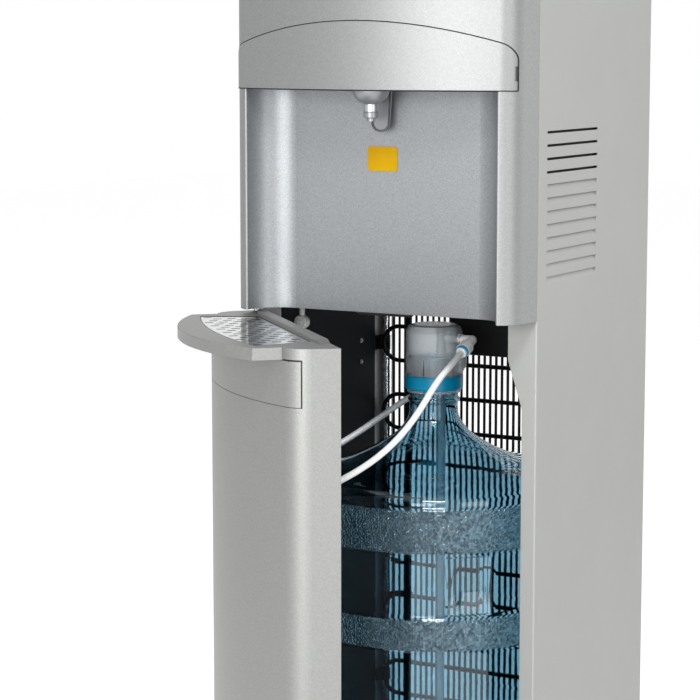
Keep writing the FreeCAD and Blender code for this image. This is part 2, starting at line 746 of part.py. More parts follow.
def control_panel():
    """Oval panel let into the upper fascia, with holes for the buttons and the lens."""
    strip = bowed_shell(PANEL_FACE, PANEL_RECESS, PANEL_Z - PANEL_HIGH, PANEL_Z + PANEL_HIGH, -SEAM)
    strip = strip.common(panel_oval())
    for index in (-1, 0, 1):
        hole = Part.makeCylinder(
            BUTTON_RADIUS + BUTTON_GAP, 60, V(index * BUTTON_PITCH, -100, PANEL_Z), BACK)
        strip = strip.cut(hole)
    lens = Part.makeCylinder(LENS_RADIUS, 60, V(1.6 * BUTTON_PITCH, -100, PANEL_Z), BACK)
    return strip.cut(lens)


def status_lens():
    """Small round lamp lens at the end of the panel."""
    x = 1.6 * BUTTON_PITCH
    stem = Part.makeCylinder(LENS_RADIUS, 60, V(x, -100, PANEL_Z), BACK)
    return stem.common(bowed_shell(0.6, PANEL_RECESS, PANEL_Z - 10, PANEL_Z + 10, -SEAM))


def flange_front(x):
    """Front of a button's retaining flange, behind the fascia's inner face."""
    return bow_y(abs(x) + BUTTON_RADIUS + BUTTON_COLLAR, PANEL_RECESS + FASCIA_WALL) + SEAM


def button(index):
    """Push button with a retaining flange behind the fascia."""
    x = index * BUTTON_PITCH
    face = bow_y(x) + 0.2
    flange = flange_front(x)
    cap = Part.makeCylinder(BUTTON_RADIUS, flange - face + 1, V(x, face, PANEL_Z), BACK)
    rims = [edge for edge in cap.Edges if edge.BoundBox.YMax < face + 0.01]
    cap = cap.makeFillet(0.8, rims)
    collar = Part.makeCylinder(BUTTON_RADIUS + BUTTON_COLLAR, 1.5, V(x, flange, PANEL_Z), BACK)
    stem = Part.makeCylinder(3.0, BUTTON_STEM - 1, V(x, flange + 1, PANEL_Z), BACK)
    return union([cap, collar, stem])


def control_board():
    """Circuit board behind the buttons, on posts from the fascia."""
    y = flange_front(BUTTON_PITCH) + BUTTON_STEM + BUTTON_TRAVEL + BOARD_GAP
    board = box((-64, y, PANEL_Z - 22), (64, y + 1.6, PANEL_Z + 22))
    posts = []
    for x in (-58, 58):
        for z in (-18, 18):
            start = bow_y(abs(x) - 3, PANEL_RECESS + FASCIA_WALL) + 1.4
            posts.append(Part.makeCylinder(3, y - start, V(x, start, PANEL_Z + z), BACK))
    return union([board] + posts)


# ---------------------------------------------------------------- door
def knuckle(low, high, grow=0.0):
    """The round rear edge of the door about its hinge axis."""
    return Part.makeCylinder(KNUCKLE_RADIUS + grow, high - low, V(HINGE_X, HINGE_Y, low))


def slab_face(grow=0.0):
    """Plan of the slab on top of the door: arched in front, square ends, straight behind."""
    return lens_face(TRAY_HALF, TRAY_HALF, TRAY_APEX, TRAY_END, TRAY_REAR, grow)


def basin_block(grow, low, high):
    """The basin's body, grown by a margin: inside the tray's opening and inside the door."""
    block = raised(grille_face(grow - BASIN_LEDGE), low, high)
    return block.common(raised(outline(DOOR_WALL + BASIN_CLEAR - grow), low, high))


def door_shell():
    """Bowed outer moulding of the door with its hinge edge, the slab's seat and a rear rim."""
    seat = DOOR_TOP - TRAY_THICK
    step = -TRAY_REAR + SEAM
    shell = raised(outline(0, -DOOR_BACK), DOOR_FOOT, DOOR_TOP)
    shell = shell.cut(raised(outline(DOOR_WALL, 5), DOOR_FOOT + DOOR_PLATE, DOOR_TOP - DOOR_PLATE))
    shell = shell.cut(box((-TRAY_HALF - SEAM, -200, seat), (TRAY_HALF + SEAM, step, DOOR_TOP + 9)))
    recess = bowed_shell(-1, TRIM_WALL + SEAM, APRON_FOOT - SEAM, seat + 1, -SEAM)
    shell = shell.cut(recess.common(slab(TRIM_HALF + SEAM, 0, 900)))
    inside = raised(outline(TRIM_WALL + SEAM, -DOOR_BACK), seat - DOOR_PLATE, DOOR_TOP)
    half = TRAY_HALF + DOOR_PLATE
    seat_plate = inside.common(slab(half, seat - DOOR_PLATE, seat))
    ends = inside.common(slab(half, seat, DOOR_TOP)).cut(slab(TRAY_HALF + SEAM, 0, DOOR_TOP + 9))
    rear_wall = box((-half, step, seat), (half, step + DOOR_PLATE, DOOR_TOP))
    rim = polygon([
        (-RIM_LEFT, step, DOOR_TOP - 1), (RIM_RIGHT + 9, step, DOOR_TOP - 1),
        (RIM_RIGHT + 9, step, DOOR_TOP), (RIM_RIGHT, step, DOOR_TOP + RIM_HIGH),
        (-RIM_LEFT, step, DOOR_TOP + RIM_HIGH),
    ]).extrude(BACK * (-DOOR_BACK - step))
    shell = union([shell, seat_plate, ends, rear_wall, rim])
    shell = shell.cut(basin_block(SEAM, seat - 9, seat + 1))
    hinge_zone = box((-200, HINGE_Y, 0), (HINGE_X, 10, 700))
    shell = shell.cut(hinge_zone).fuse(knuckle(DOOR_FOOT, DOOR_TOP))
    for low in (DOOR_FOOT - 1, DOOR_TOP - HINGE_PIN_LENGTH - 1):
        bore = Part.makeCylinder(
            HINGE_PIN + RUNNING, HINGE_PIN_LENGTH + 2, V(HINGE_X, HINGE_Y, low))
        shell = shell.cut(bore)
    return rested(shell)


def door_liner():
    """Inner moulding of the door, hollowed to clear the bottle, with a rim round its edge."""
    low = DOOR_FOOT + DOOR_PLATE + SEAM
    high = BASIN_FOOT - SEAM
    inset = LINER_INSET + LINER_WALL
    wall = bowed_shell(LINER_INSET, inset, low, high, -DOOR_BACK - SEAM)
    rim = bowed_shell(DOOR_WALL + SEAM, inset, low, high, -DOOR_BACK - SEAM)
    rim = rim.common(box((-200, -4.5, 0), (200, 10, 900)))
    ends = []
    for start in (low, high - LINER_WALL):
        ends.append(bowed_shell(DOOR_WALL + SEAM, inset, start, start + LINER_WALL, -DOOR_BACK - SEAM))
    liner = union([wall, rim] + ends)
    return rested(liner.cut(knuckle(0, 900, SEAM)))


def apron():
    """Flush cladding on the upper front of the door."""
    seat = DOOR_TOP - TRAY_THICK
    face = bowed_shell(0, TRIM_WALL, APRON_FOOT, seat - SEAM, -SEAM)
    face = face.common(slab(TRIM_HALF, 0, 900))
    return rested(face.makeFillet(HOOD_EDGE, outer_rims(face, 0)))


def door_magnet():
    """Magnet block on the door's free edge that holds the cabinet's steel flange."""
    middle = WIDTH / 2 - (LINER_INSET + LINER_WALL + DOOR_WALL) / 2
    half = (LINER_INSET + LINER_WALL - DOOR_WALL) / 2 - 1.0
    return rested(box((middle - half, -DOOR_BACK - SEAM, 260), (middle + half, -0.5, 320)))


def hinge(top):
    """Hinge leaf on the cabinet's front edge, with its pin into the door."""
    x, y = HINGE_X, HINGE_Y
    if top:
        low = DOOR_TOP + 1.6
        plate_low, plate_high = low, low + 4
        pin_low = DOOR_TOP - HINGE_PIN_LENGTH
    else:
        low = DOOR_FOOT - 3.6
        plate_low, plate_high = PANEL_FOOT, low + 2
        pin_low = DOOR_FOOT - 1.6
    pin = Part.makeCylinder(HINGE_PIN, HINGE_PIN_LENGTH + 1.6, V(x, y, pin_low))
    eye = Part.makeCylinder(KNUCKLE_RADIUS, 2, V(x, y, low))
    leaf = box((x - 4, y, low), (x + 9, 0, low + 2))
    plate = box((x - 4, -1.4, plate_low), (x + 9, 0, plate_high))
    return union([leaf, eye, plate, pin])


# ---------------------------------------------------------------- drip tray
def lens_face(half, rear_half, apex, end, rear, grow=0.0):
    """A plate outline with an arched front, slanted ends and a straight rear edge."""
    edges = [
        arc_through((-half - grow, -end, 0), (0, -apex - grow, 0), (half + grow, -end, 0)),
        line((half + grow, -end, 0), (rear_half + grow, -rear + grow, 0)),
        line((rear_half + grow, -rear + grow, 0), (-rear_half - grow, -rear + grow, 0)),
        line((-rear_half - grow, -rear + grow, 0), (-half - grow, -end, 0)),
    ]
    return Part.Face(Part.Wire(edges))


def grille_face(grow=0.0):
    """The grille's outline, grown by a margin."""
    return lens_face(GRILLE_HALF, GRILLE_REAR_HALF, GRILLE_APEX, GRILLE_END, GRILLE_REAR, grow)


def door_top():
    """D-shaped slab on the door, with a ledged opening that holds the basin."""
    seat = DOOR_TOP - TRAY_THICK
    body = raised(slab_face(), seat, DOOR_TOP)
    front = -TRAY_END - 9
    rims = [e for e in body.Edges if e.BoundBox.ZMin > DOOR_TOP - 0.01 and e.BoundBox.YMin < front]
    body = body.makeFillet(1.2, rims)
    ledge = DOOR_TOP - GRILLE_DROP - GRILLE_SHEET - BASIN_RIM
    body = body.cut(raised(grille_face(SEAM), ledge, DOOR_TOP + 1))
    return rested(body.cut(basin_block(SEAM, seat - 1, ledge + 1)))


def drip_basin():
    """Basin that hangs by its rim in the slab and drops into the door."""
    top = DOOR_TOP - GRILLE_DROP - GRILLE_SHEET
    rim = raised(grille_face(), top - BASIN_RIM, top)
    body = rim.fuse(basin_block(0, BASIN_FOOT, top))
    return rested(body.cut(basin_block(-BASIN_WALL, BASIN_FOOT + BASIN_WALL, top + 1)))


def drip_grille():
    """Bright steel plate with staggered drain slots."""
    low = DOOR_TOP - GRILLE_DROP - GRILLE_SHEET
    plate = raised(grille_face(), low, low + GRILLE_SHEET)
    inside = grille_face(-SLOT_LONG)
    slots = []
    for column in range(-8, 9):
        x = column * SLOT_STEP
        shift = 0.5 * (column % 2)
        for row in range(5):
            y = -GRILLE_REAR - SLOT_LONG - (row + shift) * SLOT_ROW
            if inside.isInside(V(x, y, 0), 0.01, True):
                slots.append(drain_slot(SLOT_LONG, SLOT_WIDE, x, y, low - 1, low + 3))
    return rested(plate.cut(Part.makeCompound(slots)))


# ---------------------------------------------------------------- bottle and cap
def bottle_profile(inset):
    """Half outline of the bottle, bottom to mouth, set in by the wall."""
    low = FLOOR_TOP - SEAT_DEPTH
    waist = BOTTLE_RADIUS - BAND_STEP - inset
    wide = BOTTLE_RADIUS - inset
    points = [(0, low + 6 + inset), (70, low + 6 + inset), (96, low + inset), (116 - inset, low + inset)]
    points += [(waist - 3, low + 9), (waist, low + 30)]
    for band_low, band_high in BAND_HEIGHTS:
        points += [(waist, band_low - 4 + inset), (wide, band_low + inset)]
        points += [(wide, band_high - inset), (waist, band_high + 4 - inset)]
    points += [(126 - inset, 408 - inset), (112 - inset, 415.5 - inset), (92, 424 - inset)]
    points += [(66, 437 - inset)]
    points += [(48, 447 - inset), (34 - inset, 457.5 - inset), (NECK_RADIUS + 2 - inset, 465)]
    points += [(NECK_RADIUS - inset, 472)]
    return points


def bottle():
    """Empty refill bottle: a thin banded moulding with a sloped shoulder and a grip pocket."""
    outer = bottle_profile(0)
    bead = [(NECK_RADIUS, 486.5), (NECK_RADIUS + 1.8, 488)]
    bead += [(NECK_RADIUS + 1.8, 490.5), (NECK_RADIUS, 492)]
    inner = bottle_profile(BOTTLE_WALL)
    mouth = [(NECK_RADIUS, NECK_TOP), (NECK_RADIUS - BOTTLE_WALL, NECK_TOP)]
    shell = turned(outer + bead + mouth + inner[::-1], (0, BOTTLE_Y))
    reach = BOTTLE_RADIUS - BAND_STEP + GRIP_RADIUS - GRIP_DEPTH
    angle = math.radians(GRIP_ANGLE)
    centre = V(reach * math.sin(angle), BOTTLE_Y - reach * math.cos(angle), GRIP_Z)
    low = V(0, BOTTLE_Y, GRIP_Z - GRIP_RADIUS)
    body = Part.makeCylinder(BOTTLE_RADIUS - BAND_STEP, 2 * GRIP_RADIUS, low)
    pocket = Part.makeSphere(GRIP_RADIUS + BOTTLE_WALL, centre).common(body)
    return shell.fuse(pocket).cut(Part.makeSphere(GRIP_RADIUS, centre))


def bell():
    """Frosted cap that rests on the bottle's mouth, slit round its skirt, with a side port."""
    inner = BELL_RADIUS - BELL_WALL
    skirt = BELL_RADIUS - 1.2
    body = turned([
        (0, BELL_TOP), (BELL_RADIUS - 7, BELL_TOP), (BELL_RADIUS - 2.5, BELL_TOP - 2),
        (BELL_RADIUS, BELL_TOP - 6.5), (BELL_RADIUS, RING_HIGH + SEAM), (skirt, RING_HIGH + SEAM),
        (skirt, BELL_FOOT), (skirt - 1.6, BELL_FOOT), (skirt - 1.6, RING_HIGH + 1), (inner, RING_HIGH + 3),
        (inner, NECK_TOP), (NECK_RADIUS - BOTTLE_WALL, NECK_TOP), (NECK_RADIUS - BOTTLE_WALL, NECK_TOP + 2),
        (inner, NECK_TOP + 3), (inner, BELL_TOP - 7.5), (inner - 4, BELL_TOP - BELL_WALL),
        (0, BELL_TOP - BELL_WALL),
    ], (0, BOTTLE_Y))
    for index in range(6):
        slit = box((skirt - 4, -0.8, BELL_FOOT - 1), (BELL_RADIUS + 2, 0.8, NECK_TOP - 2))
        slit.rotate(V(0, 0, 0), UP, -25 - 60 * index)
        slit.translate(V(0, BOTTLE_Y, 0))
        body = body.cut(slit)
    port = Part.makeCylinder(SPIGOT_RADIUS + 0.1, 40, V(DIP_X + DIP_RADIUS, BOTTLE_Y, ELBOW_Z), RIGHT)
    return body.cut(port)


def snap_ring():
    """Blue ring that closes the slit skirt on the neck."""
    inner = BELL_RADIUS - 1.2
    return turned([
        (inner, RING_LOW), (RING_RADIUS - 1, RING_LOW), (RING_RADIUS, RING_LOW + 1.5),
        (RING_RADIUS, RING_HIGH - 0.6), (RING_RADIUS - 0.6, RING_HIGH), (inner, RING_HIGH),
    ], (0, BOTTLE_Y))


def dip_tube():
    """Straight tube from the cap down to the bottle's floor."""
    top = BELL_TOP - BELL_WALL
    place = (DIP_X, BOTTLE_Y)
    tube = turned([
        (DIP_BORE, DIP_FOOT), (DIP_RADIUS, DIP_FOOT), (DIP_RADIUS, top - 5), (DIP_RADIUS + 2, top - 4),
        (DIP_RADIUS + 2, top), (DIP_BORE, top),
    ], place)
    notch = box((DIP_X - 1.5, BOTTLE_Y - 9, DIP_FOOT - 1), (DIP_X + 1.5, BOTTLE_Y + 9, DIP_FOOT + 5))
    return tube.cut(notch)


def elbow_axis():
    """Direction in which the elbow's hose leg points."""
    tilt = math.radians(ELBOW_TILT)
    return V(0, -math.cos(tilt), -math.sin(tilt))


def elbow_washer():
    """Clear washer between the cap and the elbow."""
    start = V(BELL_RADIUS + 0.1, BOTTLE_Y, ELBOW_Z)
    disc = Part.makeCylinder(WASHER_RADIUS, WASHER_THICK, start, RIGHT)
    return disc.cut(Part.makeCylinder(SPIGOT_RADIUS + 0.1, 9, start - RIGHT * 3, RIGHT))


def elbow_body():
    """White push-in elbow on the cap's side port."""
    corner = V(ELBOW_X, BOTTLE_Y, ELBOW_Z)
    axis = elbow_axis()
    inner_end = DIP_X + DIP_RADIUS + 0.4
    shoulder = BELL_RADIUS + 0.2 + WASHER_THICK
    spigot = Part.makeCylinder(SPIGOT_RADIUS, ELBOW_X - inner_end, V(inner_end, BOTTLE_Y, ELBOW_Z), RIGHT)
    stub = Part.makeCylinder(4.8, ELBOW_X - shoulder, V(shoulder, BOTTLE_Y, ELBOW_Z), RIGHT)
    ball = Part.makeSphere(5.0, corner)
    leg = Part.makeCylinder(5.0, ELBOW_LEG, corner, axis)
    collar = Part.makeCylinder(7.2, ELBOW_MOUTH - ELBOW_LEG, corner + axis * ELBOW_LEG, axis)
    socket = Part.makeCylinder(5.0, 10, corner + axis * (ELBOW_MOUTH - 4), axis)
    return union([spigot, stub, ball, leg, collar]).cut(socket)


def elbow_collet():
    """White release collet in the elbow's mouth."""
    corner = V(ELBOW_X, BOTTLE_Y, ELBOW_Z)
    axis = elbow_axis()
    start = ELBOW_MOUTH - 4
    barrel = Part.makeCylinder(4.7, COLLET_END - start, corner + axis * start, axis)
    lip = Part.makeCylinder(5.4, 1.2, corner + axis * (COLLET_END - 1.2), axis)
    return barrel.fuse(lip).cut(Part.makeCylinder(WATERWAY, 40, corner + axis * 10, axis))


def elbow_lock():
    """Blue locking clip under the collet's lip."""
    corner = V(ELBOW_X, BOTTLE_Y, ELBOW_Z)
    axis = elbow_axis()
    start = ELBOW_MOUTH + 0.1
    ring = Part.makeCylinder(6.6, COLLET_END - 1.4 - start, corner + axis * start, axis)
    return ring.cut(Part.makeCylinder(4.75, 20, corner + axis * (ELBOW_MOUTH - 4), axis))


# ---------------------------------------------------------------- pump, air filter and hose
def pump_housing():
    """Black box that hangs under the shelf and holds the pump."""
    body = box(PUMP_LOW, PUMP_HIGH)
    edges = [edge for edge in body.Edges if edge.BoundBox.ZMin < SHELF_Z - 1]
    return body.makeFillet(3.0, edges)


def pump_axis():
    """Direction in which the hose enters the pump's inlet."""
    return (V(*HOSE_ROUTE[-1]) - V(*HOSE_ROUTE[-2])).normalize()


def pump_inlet():
    """White push-in elbow under the pump housing's near corner."""
    mouth = V(*HOSE_ROUTE[-1])
    axis = pump_axis()
    corner = mouth + axis * INLET_LEG
    collar = Part.makeCylinder(INLET_RADIUS, INLET_LEG - 2, mouth, axis)
    leg = Part.makeCylinder(INLET_RADIUS - 1.2, INLET_LEG, mouth, axis)
    ball = Part.makeSphere(INLET_RADIUS - 1.2, corner)
    stem = Part.makeCylinder(INLET_RADIUS - 1.2, PUMP_LOW[2] - corner.z, corner)
    return union([collar, leg, ball, stem])


def air_filter():
    """Small white round filter that breathes for the tanks, on a stem from the shelf."""
    centre = V(-141.0, 70.0, 561.0)
    disc = Part.makeCylinder(7.3, 9, centre - BACK * 4.5, BACK)
    rims = [edge for edge in disc.Edges if edge.BoundBox.YLength < 0.01]
    disc = disc.makeFillet(1.5, rims)
    boss = Part.makeCylinder(2.6, 13, centre - BACK * 6, BACK)
    stem = Part.makeCylinder(3.0, SHELF_Z - centre.z, centre)
    return union([disc, boss, stem])


def line_sleeve():
    """Grey foam sleeve on the cold line under the shelf."""
    start = V(-120.0, 150.0, 571.0)
    bar = Part.makeCylinder(9.0, 66, start, RIGHT)
    rims = [edge for edge in bar.Edges if edge.BoundBox.XLength < 0.01]
    bar = bar.makeFillet(4.0, rims)
    clip = box((-90, 147, 575), (-84, 153, SHELF_Z))
    return bar.fuse(clip)


# ---------------------------------------------------------------- refrigeration
def condenser_tube():
    """Serpentine tube of the condenser, with round bends at both sides."""
    radius = COIL_PITCH / 2
    edges = []
    for run in range(COIL_RUNS):
        z = COIL_TOP - run * COIL_PITCH
        side = 1 if run % 2 else -1
        start, end = side * COIL_HALF, -side * COIL_HALF
        edges.append(line((start, COIL_Y, z), (end, COIL_Y, z)))
        if run < COIL_RUNS - 1:
            bend = (end + (radius if end > 0 else -radius), COIL_Y, z - radius)
            edges.append(arc_through((end, COIL_Y, z), bend, (end, COIL_Y, z - COIL_PITCH)))
    path = Part.Wire(edges)
    ring = Part.Wire(Part.makeCircle(COIL_TUBE, V(-COIL_HALF, COIL_Y, COIL_TOP), RIGHT))
    return path.makePipeShell([ring], True, False)


def condenser_wires():
    """Straight wires welded over both faces of the serpentine."""
    reach = COIL_TUBE + WIRE_RADIUS + 0.02
    low = COIL_TOP - (COIL_RUNS - 1) * COIL_PITCH - 9
    high = COIL_TOP + 9
    wires = []
    for index in range(WIRE_COUNT):
        x = (index - (WIRE_COUNT - 1) / 2) * WIRE_PITCH
        for side in (-1, 1):
            foot = V(x + side * 1.2, COIL_Y + side * reach, low)
            wires.append(Part.makeCylinder(WIRE_RADIUS, high - low, foot))
    return Part.makeCompound(wires)


def condenser_brackets():
    """Four angled tabs that hang the condenser's bends on the side panels."""
    face = COIL_Y + COIL_TUBE + 0.05
    outer = WIDTH / 2 - SHEET
    right = []
    for run in (1, 11):
        z = COIL_TOP - run * COIL_PITCH - COIL_PITCH / 2
        tab = box((COIL_HALF + 13, face, z - 8), (outer, face + 1.5, z + 8))
        foot = box((outer - 1.5, face - 10, z - 8), (outer, face + 1, z + 8))
        right.append(tab.fuse(foot))
    return Part.makeCompound(right + [mirrored(tab) for tab in right])


def discharge_pipe():
    """Black pipe down the inside of the condenser."""
    y = COIL_Y - COIL_TUBE - 2 * WIRE_RADIUS - SEAM - DISCHARGE_RADIUS
    low = COIL_TOP - (COIL_RUNS - 1) * COIL_PITCH
    return Part.makeCylinder(DISCHARGE_RADIUS, SHELF_Z - low, V(-113.0, y, low))


def suction_line():
    """Foil-wrapped line up the back corner."""
    y = DEPTH - SHEET - SEAM - SUCTION_RADIUS
    low = FLOOR_TOP
    return Part.makeCylinder(SUCTION_RADIUS, SHELF_Z - low, V(-147.5, y, low))


def compressor():
    """Domed compressor shell with its foot plate, rubber feet and terminal box."""
    shelf_top = SHELF_Z + SHELF_SHEET
    x, y = COMPRESSOR_PLACE
    radius = COMPRESSOR_RADIUS
    base_z = shelf_top + 12
    shell = turned([
        (0, base_z), (radius - 10, base_z), (radius, base_z + 8), (radius, base_z + 92),
        (radius - 6, base_z + 108), (radius - 22, base_z + 120), (0, base_z + 126),
    ], (x, y))
    plate = box((x - 62, y - 48, base_z - 3), (x + 62, y + 48, base_z + 0.5))
    cover = box((x - 20, y - 76, base_z + 30), (x + 20, y - 50, base_z + 75))
    feet = []
    for across in (-50, 50):
        for along in (-38, 38):
            feet.append(Part.makeCylinder(8, 10, V(x + across, y + along, shelf_top)))
    return union([shell, plate, cover] + feet)


def hot_tank():
    """Stainless hot tank in its jacket, on three legs."""
    floor = SHELF_Z + SHELF_SHEET
    place = HOT_PLACE
    body = turned([
        (0, floor + 20), (48, floor + 20), (54, floor + 27), (54, floor + 150), (46, floor + 160),
        (0, floor + 166),
    ], place)
    legs = []
    for angle in (90, 210, 330):
        x = place[0] + 40 * math.cos(math.radians(angle))
        y = place[1] + 40 * math.sin(math.radians(angle))
        legs.append(Part.makeCylinder(4, 21, V(x, y, floor)))
    return union([body] + legs)


def cold_tank():
    """Cold tank in its foam jacket, on the upper shelf."""
    floor = TANK_SHELF_Z + SHELF_SHEET
    top = PANEL_TOP - TANK_CLEAR
    radius = COLD_RADIUS
    body = turned([
        (0, floor), (radius - 6, floor), (radius, floor + 6), (radius, top - 24), (radius - 8, top - 12),
        (0, top - 8),
    ], COLD_PLACE)
    return body.fuse(Part.makeCylinder(30, 14, V(*COLD_PLACE, top - 14)))


# ---------------------------------------------------------------- rear fittings
def cord_gland():
    """Flanged bush in the rear panel for a supply cord."""
    face = DEPTH - SHEET
    flange = Part.makeCylinder(GLAND_RADIUS + 2.5, 3, V(GLAND_X, face, GLAND_Z), BACK)
    shank = Part.makeCylinder(GLAND_RADIUS, 14, V(GLAND_X, face - 5, GLAND_Z), BACK)
    return flange.fuse(shank).cut(Part.makeCylinder(3.4, 30, V(GLAND_X, face + 1, GLAND_Z), BACK))


def switch_cup_size():
    """Length and height of the bezel's part that passes through the rear panel."""
    return SWITCH_PITCH + ROCKER_WIDE + 10, 2 * ROCKER_RADIUS + 5


def switch_bezel():
    """Frame for the two rocker switches on the rear panel."""
    face = DEPTH - SHEET
    long, high = switch_cup_size()
    frame = box(
        (SWITCH_X - long / 2 - 3, face, SWITCH_Z - high / 2 - 3),
        (SWITCH_X + long / 2 + 3, face + 2, SWITCH_Z + high / 2 + 3))
    cups = box(
        (SWITCH_X - long / 2, face - ROCKER_RADIUS - 4, SWITCH_Z - high / 2),
        (SWITCH_X + long / 2, face + 1, SWITCH_Z + high / 2))
    frame = frame.fuse(cups)
    room = ROCKER_RADIUS + 0.8
    for side in (-1, 1):
        x = SWITCH_X + side * SWITCH_PITCH / 2
        half = ROCKER_WIDE / 2 + SEAM
        well = box((x - half, face - room - 1, SWITCH_Z - room), (x + half, face + 4, SWITCH_Z + room))
        frame = frame.cut(well)
    return frame


def rocker(side):
    """Rocker with two slanted faces, stored pressed at its upper end."""
    x = SWITCH_X + side * SWITCH_PITCH / 2 - ROCKER_WIDE / 2
    y = DEPTH - SHEET - 1
    drum = Part.makeCylinder(ROCKER_RADIUS, ROCKER_WIDE, V(x, y, SWITCH_Z), RIGHT)
    reach = ROCKER_RADIUS + 2
    end = y + 0.42 * ROCKER_RADIUS
    keep = polygon([
        (x, y - reach, SWITCH_Z - reach), (x, end, SWITCH_Z - reach), (x, y + 1.5, SWITCH_Z),
        (x, end, SWITCH_Z + reach), (x, y - reach, SWITCH_Z + reach),
    ]).extrude(RIGHT * ROCKER_WIDE)
    body = drum.common(keep)
    body.rotate(V(x, y, SWITCH_Z), RIGHT, ROCKER_THROW / 2)
    return body


# ---------------------------------------------------------------- build
def report_hose(path, tube, radii):
    """Print what the hose's route comes to."""
    section = math.pi * TUBE_RADIUS ** 2
    print("hose length", round(path.Length, 1), "smallest radius", round(min(radii), 1))
    print("hose radii", [round(radius) for radius in radii])
    print("hose volume over section times length", round(tube.Volume / (section * path.Length), 4))


def build():
    """Make every piece and write it."""
    right_panel = side_panel()
    save("side_panel_right", right_panel)
    save("side_panel_left", mirrored(right_panel))
    right_liner = side_liner()
    save("liner_right", right_liner)
    save("liner_left", mirrored(right_liner))
    save("liner_rivets", liner_rivets())
    save("base", base())
    save("compressor_shelf", shelf(SHELF_Z, DEPTH - 4))
    save("tank_shelf", shelf(TANK_SHELF_Z, DEPTH - 20))
    save("rear_panel", rear_panel())
    save("top_cover", lid())
    save("fascia", fascia())
    save("hood", hood())
    save("alcove_panel", alcove_panel())
    save("label_plate", label_plate())
    save("nozzle_bowl", nozzle_bowl())
    save("nozzle_collar", nozzle_collar())
    save("nozzle_tip", nozzle_tip())
    save("faucet_valve", faucet_valve())
    save("paddle", paddle())
    save("paddle_pin", paddle_pin())
    save("control_panel", control_panel())
    save("status_lens", status_lens())
    save("hot_button", button(-1))
    save("room_button", button(0))
    save("cold_button", button(1))
    save("control_board", control_board())
    save("door_shell", door_shell())
    save("door_liner", door_liner())
    save("door_apron", apron())
    save("door_magnet", door_magnet())
    save("hinge_top", hinge(True))
    save("hinge_bottom", hinge(False))
    save("door_top", door_top())
    save("drip_basin", drip_basin())
    save("drip_grille", drip_grille())
    save("bottle", bottle())
    save("bell_cap", bell())
    save("snap_ring", snap_ring())
    save("dip_tube", dip_tube())
    save("elbow_washer", elbow_washer())
    save("elbow_body", elbow_body())
    save("elbow_collet", elbow_collet())
    save("elbow_lock", elbow_lock())
    save("pump_housing", pump_housing())
    save("pump_inlet", pump_inlet())
    save("air_filter", air_filter())
    save("line_sleeve", line_sleeve())
    save("condenser_tube", condenser_tube())
    save("condenser_wires", condenser_wires())
    save("condenser_brackets", condenser_brackets())
    save("discharge_pipe", discharge_pipe())
    save("suction_line", suction_line())
    save("compressor", compressor())
    save("hot_tank", hot_tank())
    save("cold_tank", cold_tank())
    save("cord_gland", cord_gland())
    save("switch_bezel", switch_bezel())
    save("rocker_left", rocker(-1))
    save("rocker_right", rocker(1))
    tube, path, radii = smooth_tube(HOSE_ROUTE, TUBE_RADIUS)
    save("suction_hose", tube)
    report_hose(path, tube, radii)


build()
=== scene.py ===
"""Bottom load water cooler: finishes, hose, bottle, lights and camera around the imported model.

Everything is in metres in the model's own frame: X to the right, Y to the back, Z up.
"""

import math

import bmesh
import bpy
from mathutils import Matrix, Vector
from mathutils.bvhtree import BVHTree


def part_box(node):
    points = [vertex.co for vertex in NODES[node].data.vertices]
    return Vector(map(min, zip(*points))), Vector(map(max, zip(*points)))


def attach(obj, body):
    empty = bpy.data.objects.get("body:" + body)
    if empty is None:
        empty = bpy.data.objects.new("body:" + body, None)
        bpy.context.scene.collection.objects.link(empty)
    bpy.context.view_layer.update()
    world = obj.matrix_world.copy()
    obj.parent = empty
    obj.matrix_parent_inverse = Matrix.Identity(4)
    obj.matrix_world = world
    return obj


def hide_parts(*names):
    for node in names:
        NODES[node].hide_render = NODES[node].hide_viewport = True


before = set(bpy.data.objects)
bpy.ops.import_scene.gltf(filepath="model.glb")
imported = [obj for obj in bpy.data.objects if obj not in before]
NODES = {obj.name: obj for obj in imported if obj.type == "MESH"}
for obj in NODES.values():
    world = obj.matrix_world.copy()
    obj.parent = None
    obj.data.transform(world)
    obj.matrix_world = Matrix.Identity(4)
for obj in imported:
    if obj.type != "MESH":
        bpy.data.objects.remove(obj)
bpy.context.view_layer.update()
MM = 0.001

# ---------------------------------------------------------------- camera, from the photograph
CAMERA_PLACE = Vector((1.0662, -2.0104, 0.850))
CAMERA_YAW = 0.5053        # radians, turned left from looking along +Y
CAMERA_PITCH = 0.1315      # radians, looking down
FOCAL_PIXELS = 2359.0
FRAME_PIXELS = 700.0
SENSOR = 36.0


# ---------------------------------------------------------------- material helpers
def new_material(name, color, roughness, metallic=0.0, **more):
    """A material on one principled shader, with its constants on the shader's own sockets."""
    made = bpy.data.materials.new(name)
    made.use_nodes = True
    shader = shader_of(made)
    shader.inputs["Base Color"].default_value = (*color, 1.0)
    shader.inputs["Roughness"].default_value = roughness
    shader.inputs["Metallic"].default_value = metallic
    for socket, value in more.items():
        shader.inputs[socket.replace("_", " ")].default_value = value
    return made


def shader_of(made):
    """The principled shader of a material."""
    return made.node_tree.nodes["Principled BSDF"]


def add_node(made, kind, **settings):
    """One node in a material or world, with its settings and the defaults of its inputs."""
    node = made.node_tree.nodes.new(kind)
    for name, value in settings.items():
        if hasattr(node, name):
            setattr(node, name, value)
        else:
            node.inputs[name.replace("_", " ")].default_value = value
    return node


def link(made, source, target):
    """Join two sockets of a material or world."""
    made.node_tree.links.new(source, target)


def place_node(made):
    """Object coordinates, in metres."""
    found = made.node_tree.nodes.get("Texture Coordinate")
    if found is None:
        found = add_node(made, "ShaderNodeTexCoord")
        found.name = "Texture Coordinate"
    return found.outputs["Object"]


